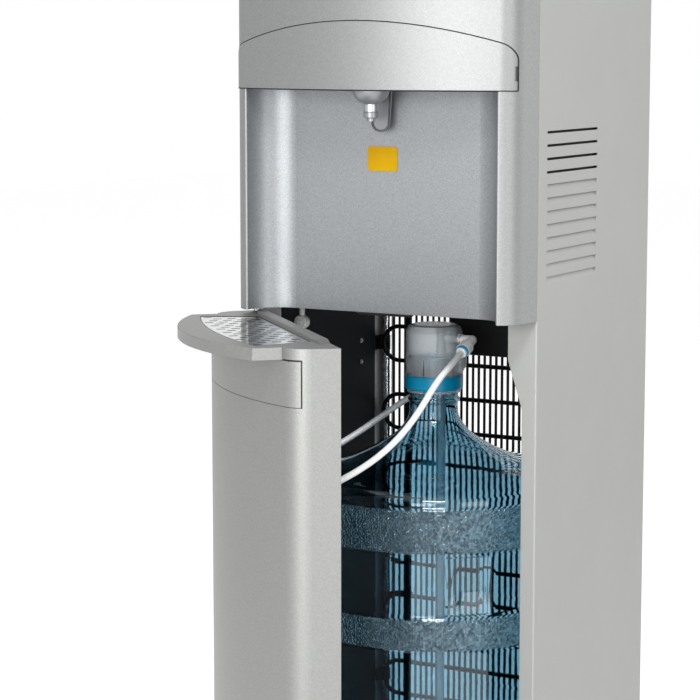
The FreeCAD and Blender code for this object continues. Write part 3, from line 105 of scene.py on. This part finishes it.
def noise(made, scale, detail=2.0, roughness=0.5):
    """A cloudy value from 0 to 1; scale is in clouds to a metre."""
    node = add_node(made, "ShaderNodeTexNoise", Scale=scale, Detail=detail, Roughness=roughness)
    link(made, place_node(made), node.inputs["Vector"])
    return node.outputs["Fac"]


def small_cells(made, scale):
    """A node of small cells; scale is in cells to a metre."""
    node = add_node(made, "ShaderNodeTexVoronoi", Scale=scale)
    link(made, place_node(made), node.inputs["Vector"])
    return node


def cells(made, scale):
    """A grey value for each small cell, for flakes and stipple."""
    parts = add_node(made, "ShaderNodeSeparateColor")
    link(made, small_cells(made, scale).outputs["Color"], parts.inputs[0])
    return parts.outputs[0]


def drops(made, scale):
    """Small domes side by side, as of drops or a pebbled mould."""
    return small_cells(made, scale).outputs["Distance"]


def between(made, value, low, high):
    """A number that runs from low to high as a value runs from 0 to 1."""
    node = add_node(made, "ShaderNodeMapRange", To_Min=low, To_Max=high)
    link(made, value, node.inputs["Value"])
    return node.outputs["Result"]


def tint(made, value, low, high, start=0.0, end=1.0):
    """Base colour that runs between two colours with a value."""
    ramp = add_node(made, "ShaderNodeValToRGB")
    ramp.color_ramp.elements[0].position = start
    ramp.color_ramp.elements[0].color = (*low, 1.0)
    ramp.color_ramp.elements[1].position = end
    ramp.color_ramp.elements[1].color = (*high, 1.0)
    link(made, value, ramp.inputs[0])
    link(made, ramp.outputs[0], shader_of(made).inputs["Base Color"])


def rough(made, value, low, high):
    """Roughness that runs between two numbers with a value."""
    link(made, between(made, value, low, high), shader_of(made).inputs["Roughness"])


def bump(made, value, strength, depth):
    """Surface relief from a value, on top of any that is there; depth is in metres."""
    node = add_node(made, "ShaderNodeBump", Strength=strength, Distance=depth)
    link(made, value, node.inputs["Height"])
    normal = shader_of(made).inputs["Normal"]
    if normal.is_linked:
        link(made, normal.links[0].from_socket, node.inputs["Normal"])
    link(made, node.outputs["Normal"], normal)


def soft_edges(made, radius):
    """Light runs round each edge as round a small fillet; comes before any bump."""
    node = add_node(made, "ShaderNodeBevel", samples=4, Radius=radius)
    link(made, node.outputs["Normal"], shader_of(made).inputs["Normal"])


def painted_groove_shade(made, reach, low=0.12, shut_share=0.0, open_share=0.55):
    """Painted shade: less colour deep in seams and narrow corners, after the tint.

    A place that is no more open than shut_share keeps only low of its colour, and one that is as
    open as open_share keeps all of it.
    """
    shader = shader_of(made)
    hidden = add_node(made, "ShaderNodeAmbientOcclusion", samples=6, Distance=reach)
    shade = add_node(made, "ShaderNodeMapRange", To_Min=low, To_Max=1.0,
                     From_Min=shut_share, From_Max=open_share)
    link(made, hidden.outputs["AO"], shade.inputs["Value"])
    mix = add_node(made, "ShaderNodeMix", data_type="RGBA", blend_type="MULTIPLY")
    mix.inputs["Factor"].default_value = 1.0
    link(made, shader.inputs["Base Color"].links[0].from_socket, mix.inputs["A"])
    link(made, shade.outputs["Result"], mix.inputs["B"])
    link(made, mix.outputs["Result"], shader.inputs["Base Color"])


def scaled(color, factor):
    """A colour times a factor, with no channel above 1."""
    return tuple(min(1.0, channel * factor) for channel in color)


# ---------------------------------------------------------------- materials
EDGE_GLINT = 0.5 * MM      # how far light wraps round a pressed or moulded edge
# how far the painted shade of seams and narrow corners reaches
GROOVE_SHADE_REACH = 2.5 * MM
# the painted shade inside the grille's slots reaches this far
SLOT_SHADE_REACH = 6 * MM        # how far a slot of the grille looks for its walls
CLOUD_START = 0.35         # most of a noise's values lie between these two
CLOUD_END = 0.65
FLAKES = 1500.0            # metallic flakes to a metre
FLAKE_METAL = 0.72
PEBBLES = 430.0            # domes of the bottle's grip bands to a metre
CLEAR_IOR = 1.45           # of the bottle
CLOUDY_IOR = 1.25          # of the frosted cap, kept low so that it looks soft


def flake_paint(name, color, roughness, spread):
    """Silver plastic with metallic flake: each flake has its own brightness and tilt."""
    made = new_material(name, color, roughness, FLAKE_METAL)
    soft_edges(made, EDGE_GLINT)
    flakes = cells(made, FLAKES)
    tint(made, flakes, scaled(color, 1 - spread), scaled(color, 1 + spread))
    # painted shade: seams and narrow corners are darkened in the colour
    painted_groove_shade(made, GROOVE_SHADE_REACH)
    bump(made, flakes, strength=0.12, depth=0.06 * MM)
    bump(made, noise(made, scale=260.0, detail=3.0), strength=0.08, depth=0.08 * MM)
    return made


def sheet_paint(name, color, roughness, metallic=0.0, **more):
    """Powder coat on sheet steel, with its orange-peel."""
    made = new_material(name, color, roughness, metallic, **more)
    soft_edges(made, EDGE_GLINT)
    patches = noise(made, scale=14.0, detail=4.0)
    tint(made, patches, scaled(color, 0.99), scaled(color, 1.01), CLOUD_START, CLOUD_END)
    bump(made, noise(made, scale=900.0, detail=3.0), strength=0.10, depth=0.12 * MM)
    rough(made, noise(made, scale=60.0, detail=3.0), roughness - 0.02, roughness + 0.02)
    return made


def moulded(name, color, roughness, grain=700.0, depth=0.06 * MM, **more):
    """Plain moulded plastic with a fine grain."""
    made = new_material(name, color, roughness, **more)
    patches = noise(made, scale=40.0, detail=4.0)
    tint(made, patches, scaled(color, 0.94), scaled(color, 1.05), CLOUD_START, CLOUD_END)
    bump(made, noise(made, grain), strength=0.2, depth=depth)
    return made


def bright_metal(name, color, roughness, streak=0.0):
    """Polished or brushed steel."""
    made = new_material(name, color, roughness, 1.0)
    rough(made, noise(made, scale=180.0, detail=3.0), roughness * 0.8, roughness * 1.3)
    if streak:
        bump(made, noise(made, scale=1200.0), streak, depth=0.02 * MM)
    return made


def slotted_steel():
    """Polished steel whose slots are painted dark inside, as painted shade."""
    made = bright_metal("slotted_steel", (0.58, 0.59, 0.60), 0.14)
    tint(made, noise(made, scale=9.0), (0.54, 0.55, 0.56), (0.62, 0.63, 0.64),
         CLOUD_START, CLOUD_END)
    # painted shade: the slot walls lose nearly all their colour
    painted_groove_shade(made, SLOT_SHADE_REACH, low=0.01, shut_share=0.55, open_share=0.95)
    return made


def crinkled_foil():
    """Aluminium foil wound round a pipe."""
    made = new_material("foil", (0.82, 0.83, 0.85), 0.22, 1.0)
    crinkles = noise(made, scale=120.0, detail=4.0, roughness=0.6)
    bump(made, crinkles, strength=0.9, depth=1.6 * MM)
    rough(made, noise(made, scale=300.0, detail=3.0), 0.16, 0.36)
    return made


def bottle_plastic():
    """Clear blue bottle, a little wavy."""
    made = new_material("bottle_clear", (0.38, 0.585, 0.685), 0.02,
                        Transmission_Weight=1.0, IOR=CLEAR_IOR)
    bump(made, noise(made, scale=24.0, detail=3.0), strength=0.2, depth=0.8 * MM)
    return made


def bottle_stipple():
    """The bottle's rough grip bands."""
    made = new_material("bottle_stipple", (0.38, 0.50, 0.56), 0.06,
                        Transmission_Weight=1.0, IOR=CLEAR_IOR)
    tint(made, cells(made, PEBBLES), (0.10, 0.17, 0.21), (0.72, 0.88, 0.95))
    bump(made, drops(made, PEBBLES), strength=1.0, depth=1.4 * MM)
    return made


def frosted():
    """Cloudy natural plastic of the cap."""
    made = new_material("cap_frosted", (0.90, 0.94, 0.96), 0.24,
                        Transmission_Weight=0.82, IOR=CLOUDY_IOR)
    bump(made, noise(made, scale=500.0), strength=0.15, depth=0.1 * MM)
    return made


# Each maker takes a name, a colour and a roughness first. After them flake_paint takes the spread
# of its flakes, sheet_paint its metal share, moulded its grain and the grain's depth, and
# bright_metal the strength of its streaks.
MATERIALS = {
    "silver": flake_paint("silver_flake", (0.243, 0.248, 0.248), 0.46, 0.10),
    "door": flake_paint("door_flake", (0.250, 0.254, 0.244), 0.46, 0.10),
    "alcove": flake_paint("alcove_flake", (0.240, 0.251, 0.260), 0.44, 0.16),
    "cabinet": sheet_paint("cabinet_paint", (0.315, 0.32, 0.308), 0.42, 0.25),
    "dark": sheet_paint("dark_sheet", (0.010, 0.014, 0.018), 0.5, Specular_IOR_Level=0.05),
    "black": moulded("black_plastic", (0.010, 0.010, 0.011), 0.5, Specular_IOR_Level=0.2),
    "wire": moulded("wire_lacquer", (0.006, 0.006, 0.007), 0.3, Specular_IOR_Level=0.2),
    "slotted": slotted_steel(),
    "steel": bright_metal("plain_steel", (0.42, 0.43, 0.44), 0.34, 0.3),
    "nozzle": moulded("nozzle_grey", (0.25, 0.26, 0.27), 0.36, metallic=0.6),
    "label": moulded("label_blank", (0.46, 0.26, 0.001), 0.5, 900.0, 0.02 * MM,
                     Specular_IOR_Level=0.1),
    "white": moulded("white_plastic", (0.90, 0.90, 0.89), 0.30),
    "hose": moulded("hose_white", (0.92, 0.93, 0.93), 0.28, 400.0, 0.02 * MM),
    "blue": moulded("ring_blue", (0.002, 0.30, 0.54), 0.30),
    "foil": crinkled_foil(),
    "foam": moulded("foam_grey", (0.13, 0.13, 0.125), 0.8, 300.0, 0.4 * MM),
    "board": moulded("board_green", (0.02, 0.12, 0.05), 0.4),
    "bottle": bottle_plastic(),
    "stipple": bottle_stipple(),
    "frosted": frosted(),
}

FINISHES = {
    "silver": "fascia hood top_cover",
    "door": "door_shell door_apron door_top",
    "alcove": "alcove_panel door_liner",
    "cabinet": "side_panel_left side_panel_right",
    "dark": "liner_left liner_right compressor_shelf tank_shelf rear_panel compressor"
            " discharge_pipe",
    # painted shade: drip_basin is black to stand in for the shade under the grille's slots
    "black": "base pump_housing control_panel rocker_left rocker_right switch_bezel cord_gland"
             " door_magnet condenser_brackets drip_basin",
    "wire": "condenser_wires condenser_tube",
    "slotted": "drip_grille",
    "steel": "hinge_top hinge_bottom paddle_pin hot_tank faucet_valve nozzle_collar liner_rivets",
    "nozzle": "nozzle_bowl nozzle_tip paddle",
    "label": "label_plate",
    "white": "elbow_body elbow_collet pump_inlet air_filter hot_button room_button cold_button",
    "hose": "suction_hose",
    "blue": "snap_ring elbow_lock",
    "foil": "suction_line",
    "foam": "line_sleeve cold_tank",
    "board": "control_board",
    "bottle": "bottle",
    "frosted": "bell_cap dip_tube elbow_washer status_lens",
}


def finish_nodes():
    """Give each piece of the model its finish."""
    for key, names in FINISHES.items():
        for name in names.split():
            mesh = NODES[name].data
            mesh.materials.clear()
            mesh.materials.append(MATERIALS[key])


# ---------------------------------------------------------------- mesh helpers
CORNER_SHARE = 0.45        # of a side that the rounding of one corner may take
CORNER_STEPS = 5
SAME_PLACE = 1e-6          # points nearer than this are one
NO_LENGTH = 1e-7


def placed(name, data):
    """A new object of some data, linked into the scene."""
    made = bpy.data.objects.new(name, data)
    bpy.context.scene.collection.objects.link(made)
    return made


def new_piece(name, mesh, keys, body, slot, *replaced):
    """A piece in the scene with its finishes, riding on a body and standing for model nodes."""
    for key in keys:
        mesh.materials.append(MATERIALS[key])
    piece = placed(name, mesh)
    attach(piece, body)
    if replaced:
        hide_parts(*replaced)


def in_order(elements, place):
    """Put a bmesh's vertices or faces in the order of their places."""
    for rank, element in enumerate(sorted(elements, key=lambda item: tuple(place(item)))):
        element.index = rank
    elements.sort()


def closed_mesh(work, name):
    """The mesh of a bmesh, with its faces turned outwards."""
    bmesh.ops.recalc_face_normals(work, faces=work.faces)
    mesh = bpy.data.meshes.new(name)
    work.to_mesh(mesh)
    work.free()
    return mesh


def rounded(corners):
    """A closed outline from (radius, height, rounding) corners, each rounding a short curve."""
    points = []
    before_all = corners[-1:] + corners[:-1]
    after_all = corners[1:] + corners[:1]
    for before, corner, after in zip(before_all, corners, after_all):
        place = Vector(corner[:2])
        back = Vector(before[:2]) - place
        ahead = Vector(after[:2]) - place
        reach = min(corner[2], CORNER_SHARE * back.length, CORNER_SHARE * ahead.length)
        if reach < SAME_PLACE:
            points.append(place)
            continue
        start = place + back.normalized() * reach
        end = place + ahead.normalized() * reach
        for step in range(CORNER_STEPS + 1):
            share = step / CORNER_STEPS
            points.append(start.lerp(place, share).lerp(place.lerp(end, share), share))
    return points


def lathe(name, profile, centre, turns, shape):
    """A closed mesh turned about a vertical axis; shape(radius, angle, height) moves each point."""
    work = bmesh.new()
    rings = []
    for radius, height in profile:
        ring = []
        for index in range(turns):
            angle = 2 * math.pi * index / turns
            reach = shape(radius, angle, height)
            x = centre[0] + reach * math.sin(angle)
            y = centre[1] - reach * math.cos(angle)
            ring.append(work.verts.new((x, y, height)))
        rings.append(ring)
    for ring, following in zip(rings, rings[1:] + rings[:1]):
        for index in range(turns):
            beside = (index + 1) % turns
            work.faces.new((ring[index], ring[beside], following[beside], following[index]))
    bmesh.ops.remove_doubles(work, verts=work.verts, dist=SAME_PLACE)
    bmesh.ops.dissolve_degenerate(work, edges=work.edges, dist=NO_LENGTH)
    mesh = closed_mesh(work, name)
    for face in mesh.polygons:
        face.use_smooth = True
    return mesh


def ease(share):
    """Smooth step from 0 to 1."""
    share = max(0.0, min(1.0, share))
    return share * share * (3 - 2 * share)


# ---------------------------------------------------------------- the bottle
BOTTLE_CENTRE = (0.0, 0.092)
BOTTLE_FOOT = 0.041
BOTTLE_WAIST = 0.132
BOTTLE_BAND = 0.135
BOTTLE_NECK = 0.0244
BOTTLE_NECK_FOOT = 0.472
BOTTLE_MOUTH = 0.532
BOTTLE_WALL = 0.0016
BOTTLE_TURNS = 192
# (radius, rise above the foot, rounding) of the underside, and of the heel up to the waist
UNDERSIDE = ((0, 0.006, 0), (0.070, 0.006, 0.01), (0.096, 0, 0.01))
HEEL = ((0.118, 0, 0.006), (0.129, 0.012, 0.008), (0.132, 0.030, 0.01))
# (radius, height, rounding) from the highest band to the neck
SHOULDER = (
    (0.1305, 0.409, 0.006),
    (0.124, 0.4155, 0.006),
    (0.108, 0.423, 0.008),
    (0.088, 0.4275, 0.012),
    (0.060, 0.440, 0.012),
    (0.036, 0.4555, 0.010),
)
NECK_ROUNDING = 0.008
NECK_BEAD = ((0, 0.4865), (0.0018, 0.488), (0.0018, 0.4905), (0, 0.492))   # (stands out, height)
BEAD_ROUNDING = 0.001
LIP_ROUNDING = 0.0005

BANDS = ((0.165, 0.193), (0.263, 0.291), (0.359, 0.399))
BAND_SLOPE = 0.004         # height in which a band runs out to the waist
BAND_ROUNDING = 0.003
BAND_MARGIN = 0.001        # stipple reaches this far past a band's edges
BAND_SKIN = 0.0008         # and this far in from its surface

GRIP_ANGLE = math.radians(42)      # from the front towards the right
GRIP_HEIGHT = 0.325
GRIP_HALF_WIDE = 0.024
GRIP_HALF_HIGH = 0.030
GRIP_DEPTH = 0.017
GRIP_STEEP_ACROSS = 2.2
GRIP_STEEP_ALONG = 2.6
GRIP_LEAST_RADIUS = 0.12   # nothing nearer to the bottle's middle is pressed in


def bottle_side(inset):
    """The bottle's wall from the middle of its foot to below the mouth, set in by a wall."""
    foot = BOTTLE_FOOT + inset
    waist = BOTTLE_WAIST - inset
    band = BOTTLE_BAND - inset
    side = [(radius, foot + rise, rounding) for radius, rise, rounding in UNDERSIDE]
    side += [(radius - inset, foot + rise, rounding) for radius, rise, rounding in HEEL]
    for low, high in BANDS:
        side += [(waist, low - BAND_SLOPE, BAND_ROUNDING), (band, low, BAND_ROUNDING)]
        side += [(band, high, BAND_ROUNDING), (waist, high + BAND_SLOPE, BAND_ROUNDING)]
    side += [(radius - inset, height - inset, rounding) for radius, height, rounding in SHOULDER]
    side += [(BOTTLE_NECK - inset, BOTTLE_NECK_FOOT, NECK_ROUNDING)]
    return side


def grip_dent(radius, angle, height):
    """Press the wall in where the hand grips."""
    if radius < GRIP_LEAST_RADIUS:
        return radius
    across = abs(angle - GRIP_ANGLE) * BOTTLE_WAIST / GRIP_HALF_WIDE
    along = abs(height - GRIP_HEIGHT) / GRIP_HALF_HIGH
    share = ease((1 - across) * GRIP_STEEP_ACROSS) * ease((1 - along) * GRIP_STEEP_ALONG)
    return radius - GRIP_DEPTH * share


def bottle():
    """Clear blue refill bottle with a grip recess, its bands stippled on their front half."""
    bead = [(BOTTLE_NECK + proud, height, BEAD_ROUNDING) for proud, height in NECK_BEAD]
    mouth = [(BOTTLE_NECK, BOTTLE_MOUTH, LIP_ROUNDING)]
    mouth += [(BOTTLE_NECK - BOTTLE_WALL, BOTTLE_MOUTH, LIP_ROUNDING)]
    corners = bottle_side(0.0) + bead + mouth + bottle_side(BOTTLE_WALL)[::-1]
    mesh = lathe("bottle_shell", rounded(corners), BOTTLE_CENTRE, BOTTLE_TURNS, grip_dent)
    new_piece("bottle_shell", mesh, ("bottle", "stipple"), "cabinet", "bottle_blue", "bottle")
    for face in mesh.polygons:
        place = face.center
        reach = math.hypot(place.x - BOTTLE_CENTRE[0], place.y - BOTTLE_CENTRE[1])
        banded = any(low - BAND_MARGIN < place.z < high + BAND_MARGIN for low, high in BANDS)
        if banded and reach > BOTTLE_BAND - BAND_SKIN and place.y < BOTTLE_CENTRE[1]:
            face.material_index = 1


# ---------------------------------------------------------------- thin beads and screens of painted shade
HOOD_END = 0.8415          # where the hood's arch would meet its straight ends
HOOD_CORNER = 16 * MM
HOOD_CORNER_STEPS = 8
# the joint beads are black, as painted shade in the gaps
SEAM_RADIUS = 0.45 * MM    # of the dark joint round the hood
SEAM_PITCH = 4 * MM
IN_FRONT = -0.2            # Y of a plane before the whole cabinet
DOOR_REST = 45.5           # degrees that the door stands open at rest
SCREEN_LOW = 0.716         # the open slots of the louvre banks, with a margin
SCREEN_HIGH = 0.772
SCREEN_FRONT = 0.014
SCREEN_BACK = 0.146
SCREEN_INSET = 4.0 * MM
SCREEN_ROWS = 16
SCREEN_COLUMNS = 44
SCREEN_WEAVE = 0.15 * MM   # how far its threads stand to either side
SCREEN_THICK = 0.4 * MM


def hood_outline(grow):
    """Points (x, z) round the hood's ends and arch, from its lower left to its lower right."""
    low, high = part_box("hood")
    half = high[0] + grow
    top = high[2] + grow
    rise = high[2] - HOOD_END
    radius = (half * half + rise * rise) / (2 * rise)
    middle = top - radius
    corner = HOOD_CORNER + grow
    # centre of the rounding: one radius from the end and one radius inside the arch
    centre_x = half - corner
    centre_z = middle + math.sqrt((radius - corner) ** 2 - centre_x ** 2)
    join = math.atan2(centre_x, centre_z - middle)
    right = []
    steps = math.ceil(radius * join / SEAM_PITCH)
    for step in range(steps + 1):
        angle = join * step / steps
        right.append((radius * math.sin(angle), middle + radius * math.cos(angle)))
    for step in range(1, HOOD_CORNER_STEPS + 1):
        angle = join + (math.pi / 2 - join) * step / HOOD_CORNER_STEPS
        right.append((centre_x + corner * math.sin(angle), centre_z + corner * math.cos(angle)))
    right.append((half, low[2]))
    left = [(-x, z) for x, z in right[:0:-1]]
    return left + right


def dark_line(name, runs, radius, body, lower=0.0, closed=True):
    """Thin black beads along runs of points: painted shade for the shadow in the gap between two
    mouldings.
    """
    data = bpy.data.curves.new(name, "CURVE")
    data.dimensions = "3D"
    data.bevel_depth = radius
    data.bevel_resolution = 1
    for points in runs:
        spline = data.splines.new("POLY")
        spline.points.add(len(points) - 1)
        for point, (x, y, z) in zip(spline.points, points):
            point.co = (x, y, z - lower, 1.0)
        spline.use_cyclic_u = closed
    data.materials.append(MATERIALS["black"])
    line = placed(name, data)
    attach(line, body)


def hood_seam_shade():
    """Black bead of painted shade in the joint between the hood and the fascia, laid on the
    fascia's face.
    """
    mesh = NODES["fascia"].data
    places = [vertex.co for vertex in mesh.vertices]
    surface = BVHTree.FromPolygons(places, [tuple(face.vertices) for face in mesh.polygons])
    points = []
    for x, z in hood_outline(SEAM_RADIUS):
        place = surface.ray_cast(Vector((x, IN_FRONT, z)), Vector((0, 1, 0)))[0]
        if place:
            points.append(place)
    dark_line("hood_seam_shade", [points], SEAM_RADIUS, "cabinet", closed=False)


def rims_of(name, facing, spread=0.5):
    """Outlines of the faces of a node that look one way, each as points in order, longest first.

    spread is the least cosine between a face's normal and the way that it has to look.
    """
    mesh = NODES[name].data
    facing = Vector(facing).normalized()

    def key(index):
        """A vertex's place to a micrometre, the same for vertices that lie together."""
        return tuple(round(value, 6) for value in mesh.vertices[index].co)

    beside = {}
    for face in mesh.polygons:
        if face.normal.dot(facing) < spread:
            continue
        corners = [key(index) for index in face.vertices]
        for start, end in zip(corners, corners[1:] + corners[:1]):
            if start in beside.get(end, ()):
                beside[end].remove(start)
            else:
                beside.setdefault(start, []).append(end)
    rims = []
    while any(beside.values()):
        place = next(start for start, ends in beside.items() if ends)
        rim = []
        while beside.get(place):
            rim.append(place)
            place = beside[place].pop()
        rims.append(rim)

    def length(rim):
        return sum((Vector(a) - Vector(b)).length for a, b in zip(rim, rim[1:]))

    return sorted(rims, key=length, reverse=True)


def panel_joints():
    """Black beads of painted shade in the gaps round the hood's foot, the door's apron, the paddle
    and the grille, and inside the grille's slots.
    """
    turn = math.radians(DOOR_REST)
    door_front = (-math.sin(turn), -math.cos(turn), 0)
    # painted shade: black beads in the gaps at the hood's foot, the apron and the paddle
    hood_foot = rims_of("hood", (0, 0, -1))
    dark_line("hood_foot_shade", hood_foot[:1], 0.5 * MM, "cabinet", lower=0.4 * MM)
    apron = rims_of("door_apron", door_front, spread=0.02)
    dark_line("apron_gap_shade", apron[:1], 0.45 * MM, "door")
    dark_line("paddle_edge_shade", rims_of("paddle", (0, -1, 0))[:1], 0.35 * MM, "paddle")
    # painted shade: black beads round the grille and inside its slots
    grille = rims_of("drip_grille", (0, 0, 1))
    dark_line("grille_gap_shade", grille[:1], 0.5 * MM, "grille")
    dark_line("grille_slot_shade", grille[1:], 0.3 * MM, "grille", lower=0.2 * MM)


def louvre_shade_screen(name, side):
    """Dark screen of crossed threads on a sheet, inside a panel's open louvre slots: painted shade
    for the dark inside.
    """
    low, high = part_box("side_panel_right" if side > 0 else "side_panel_left")
    inner = (high[0] if side > 0 else low[0]) - side * SCREEN_INSET
    work = bmesh.new()
    grid = []
    for row in range(SCREEN_ROWS + 1):
        z = SCREEN_LOW + (SCREEN_HIGH - SCREEN_LOW) * row / SCREEN_ROWS
        threads = []
        for column in range(SCREEN_COLUMNS + 1):
            y = SCREEN_FRONT + (SCREEN_BACK - SCREEN_FRONT) * column / SCREEN_COLUMNS
            weave = SCREEN_WEAVE * (1 if (row + column) % 2 else -1)
            threads.append(work.verts.new((inner + weave, y, z)))
        grid.append(threads)
    for near, far in zip(grid, grid[1:]):
        for column in range(SCREEN_COLUMNS):
            work.faces.new((near[column], near[column + 1], far[column + 1], far[column]))
    bmesh.ops.solidify(work, geom=work.faces[:], thickness=SCREEN_THICK)
    # solidify leaves its vertices and faces in another order each run
    in_order(work.verts, lambda vertex: vertex.co)
    in_order(work.faces, lambda face: face.calc_center_median())
    new_piece(name, closed_mesh(work, name), ("black",), "cabinet", "black_plastic")


# ---------------------------------------------------------------- the suction hose
HOSE_RADIUS = 3.175 * MM
HOSE_ROUTE = (
    (0.0420, 0.06834, 0.54096),
    (0.0420, 0.0444, 0.5308),
    (0.0395, 0.0200, 0.5180),
    (0.0320, -0.0050, 0.4895),
    (0.0220, -0.0230, 0.4685),
    (0.0065, -0.0390, 0.4495),
    (-0.0170, -0.0525, 0.4315),
    (-0.0480, -0.0550, 0.4155),
    (-0.0830, -0.0440, 0.4045),
    (-0.1135, -0.0220, 0.4010),
    (-0.1315, 0.0080, 0.4030),
    (-0.1375, 0.0420, 0.4090),
    (-0.1270, 0.0720, 0.4210),
    (-0.1010, 0.0960, 0.4385),
    (-0.0760, 0.1180, 0.4600),
    (-0.0500, 0.1400, 0.4825),
    (-0.0290, 0.1610, 0.4940),
    (-0.0170, 0.1745, 0.5070),
)


def suction_hose():
    """White hose from the cap's elbow round the bottle to the pump, on one smooth line."""
    data = bpy.data.curves.new("suction_hose_line", "CURVE")
    data.dimensions = "3D"
    data.bevel_depth = HOSE_RADIUS
    data.bevel_resolution = 8
    data.resolution_u = 12
    data.use_fill_caps = True
    spline = data.splines.new("NURBS")
    spline.points.add(len(HOSE_ROUTE) - 1)
    for point, place in zip(spline.points, HOSE_ROUTE):
        point.co = (*place, 1.0)
    spline.order_u = 3
    spline.use_endpoint_u = True
    data.materials.append(MATERIALS["hose"])
    hose = placed("white_hose", data)
    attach(hose, "cabinet")
    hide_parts("suction_hose")


# ---------------------------------------------------------------- floor, light and camera
FLOOR_SIZE = 14.0
FLOOR_SHIFT = 0.3          # share of its size that the floor's middle lies behind the object
FLOOR_COLOR = (0.93, 0.93, 0.93)
FLOOR_SPREAD = 0.01        # that its grey runs up and down
FLOOR_GLOW = 0.62          # what the floor adds to its own white where it is seen directly
ROOM_LIGHT = 0.34          # what the white room gives as light on matt surfaces
LAMP_AIM = (0.0, 0.0, 0.6)
LAMPS = (
    # name, azimuth in degrees from the front towards the right, distance, height, width,
    # length up and down, power in watts
    ("key", 9, 2.6, 0.98, 1.9, 1.25, 52),
    ("fill_right", 66, 2.6, 1.1, 1.2, 1.8, 18),
    ("rim_right", 138, 2.6, 1.1, 1.4, 1.8, 9),
    ("glint", 29, 1.9, 2.5, 0.8, 0.5, 42),
)


def seen_directly(made):
    """1 for rays that the eye sees, also in metal and through glass, and 0 for rays of light."""
    path = add_node(made, "ShaderNodeLightPath")
    seen = path.outputs["Is Camera Ray"]
    for name in ("Is Glossy Ray", "Is Transmission Ray"):
        either = add_node(made, "ShaderNodeMath", operation="MAXIMUM")
        link(made, seen, either.inputs[0])
        link(made, path.outputs[name], either.inputs[1])
        seen = either.outputs[0]
    return seen


def make_floor():
    """Pale floor that stays white behind the object and keeps its shadow."""
    bpy.ops.mesh.primitive_plane_add(size=FLOOR_SIZE, location=(0, FLOOR_SIZE * FLOOR_SHIFT, 0))
    floor = bpy.context.object
    floor.name = "floor"
    made = new_material("floor_pale", FLOOR_COLOR, 0.9)
    tint(made, noise(made, scale=3.0), [channel - FLOOR_SPREAD for channel in FLOOR_COLOR],
         [channel + FLOOR_SPREAD for channel in FLOOR_COLOR])
    shader = shader_of(made)
    shader.inputs["Emission Color"].default_value = (1, 1, 1, 1)
    glow = between(made, seen_directly(made), 0.0, FLOOR_GLOW)
    link(made, glow, shader.inputs["Emission Strength"])
    floor.data.materials.append(made)


def make_world():
    """White round the object for the eye and in reflections, and a plain grey room for light."""
    world = bpy.data.worlds.new("studio")
    bpy.context.scene.world = world
    world.use_nodes = True
    back = world.node_tree.nodes["Background"]
    back.inputs["Color"].default_value = (1, 1, 1, 1)
    link(world, between(world, seen_directly(world), ROOM_LIGHT, 1.0), back.inputs["Strength"])


def make_lights():
    """Rectangular softboxes round the object, all facing its middle."""
    for name, azimuth, distance, height, wide, high, power in LAMPS:
        data = bpy.data.lights.new(name, "AREA")
        data.shape = "RECTANGLE"
        data.size = wide
        data.size_y = high
        data.energy = power
        angle = math.radians(azimuth)
        place = Vector((math.sin(angle) * distance, -math.cos(angle) * distance, height))
        lamp = placed(name, data)
        lamp.location = place
        lamp.rotation_euler = (Vector(LAMP_AIM) - place).to_track_quat("-Z", "Y").to_euler()


def make_camera():
    """Camera at the photograph's place and angle."""
    data = bpy.data.cameras.new("camera")
    data.sensor_width = SENSOR
    data.lens = SENSOR * FOCAL_PIXELS / FRAME_PIXELS
    camera = placed("camera", data)
    camera.location = CAMERA_PLACE
    camera.rotation_euler = (math.pi / 2 - CAMERA_PITCH, 0.0, CAMERA_YAW)
    bpy.context.scene.camera = camera


# ---------------------------------------------------------------- build
finish_nodes()
bottle()
hood_seam_shade()
panel_joints()
# dark screens of painted shade behind the open louvre slots
louvre_shade_screen("louvre_shade_screen_left", -1)
louvre_shade_screen("louvre_shade_screen_right", 1)
suction_hose()
make_floor()
make_world()
make_lights()
make_camera()
bpy.context.scene.view_settings.view_transform = "Standard"
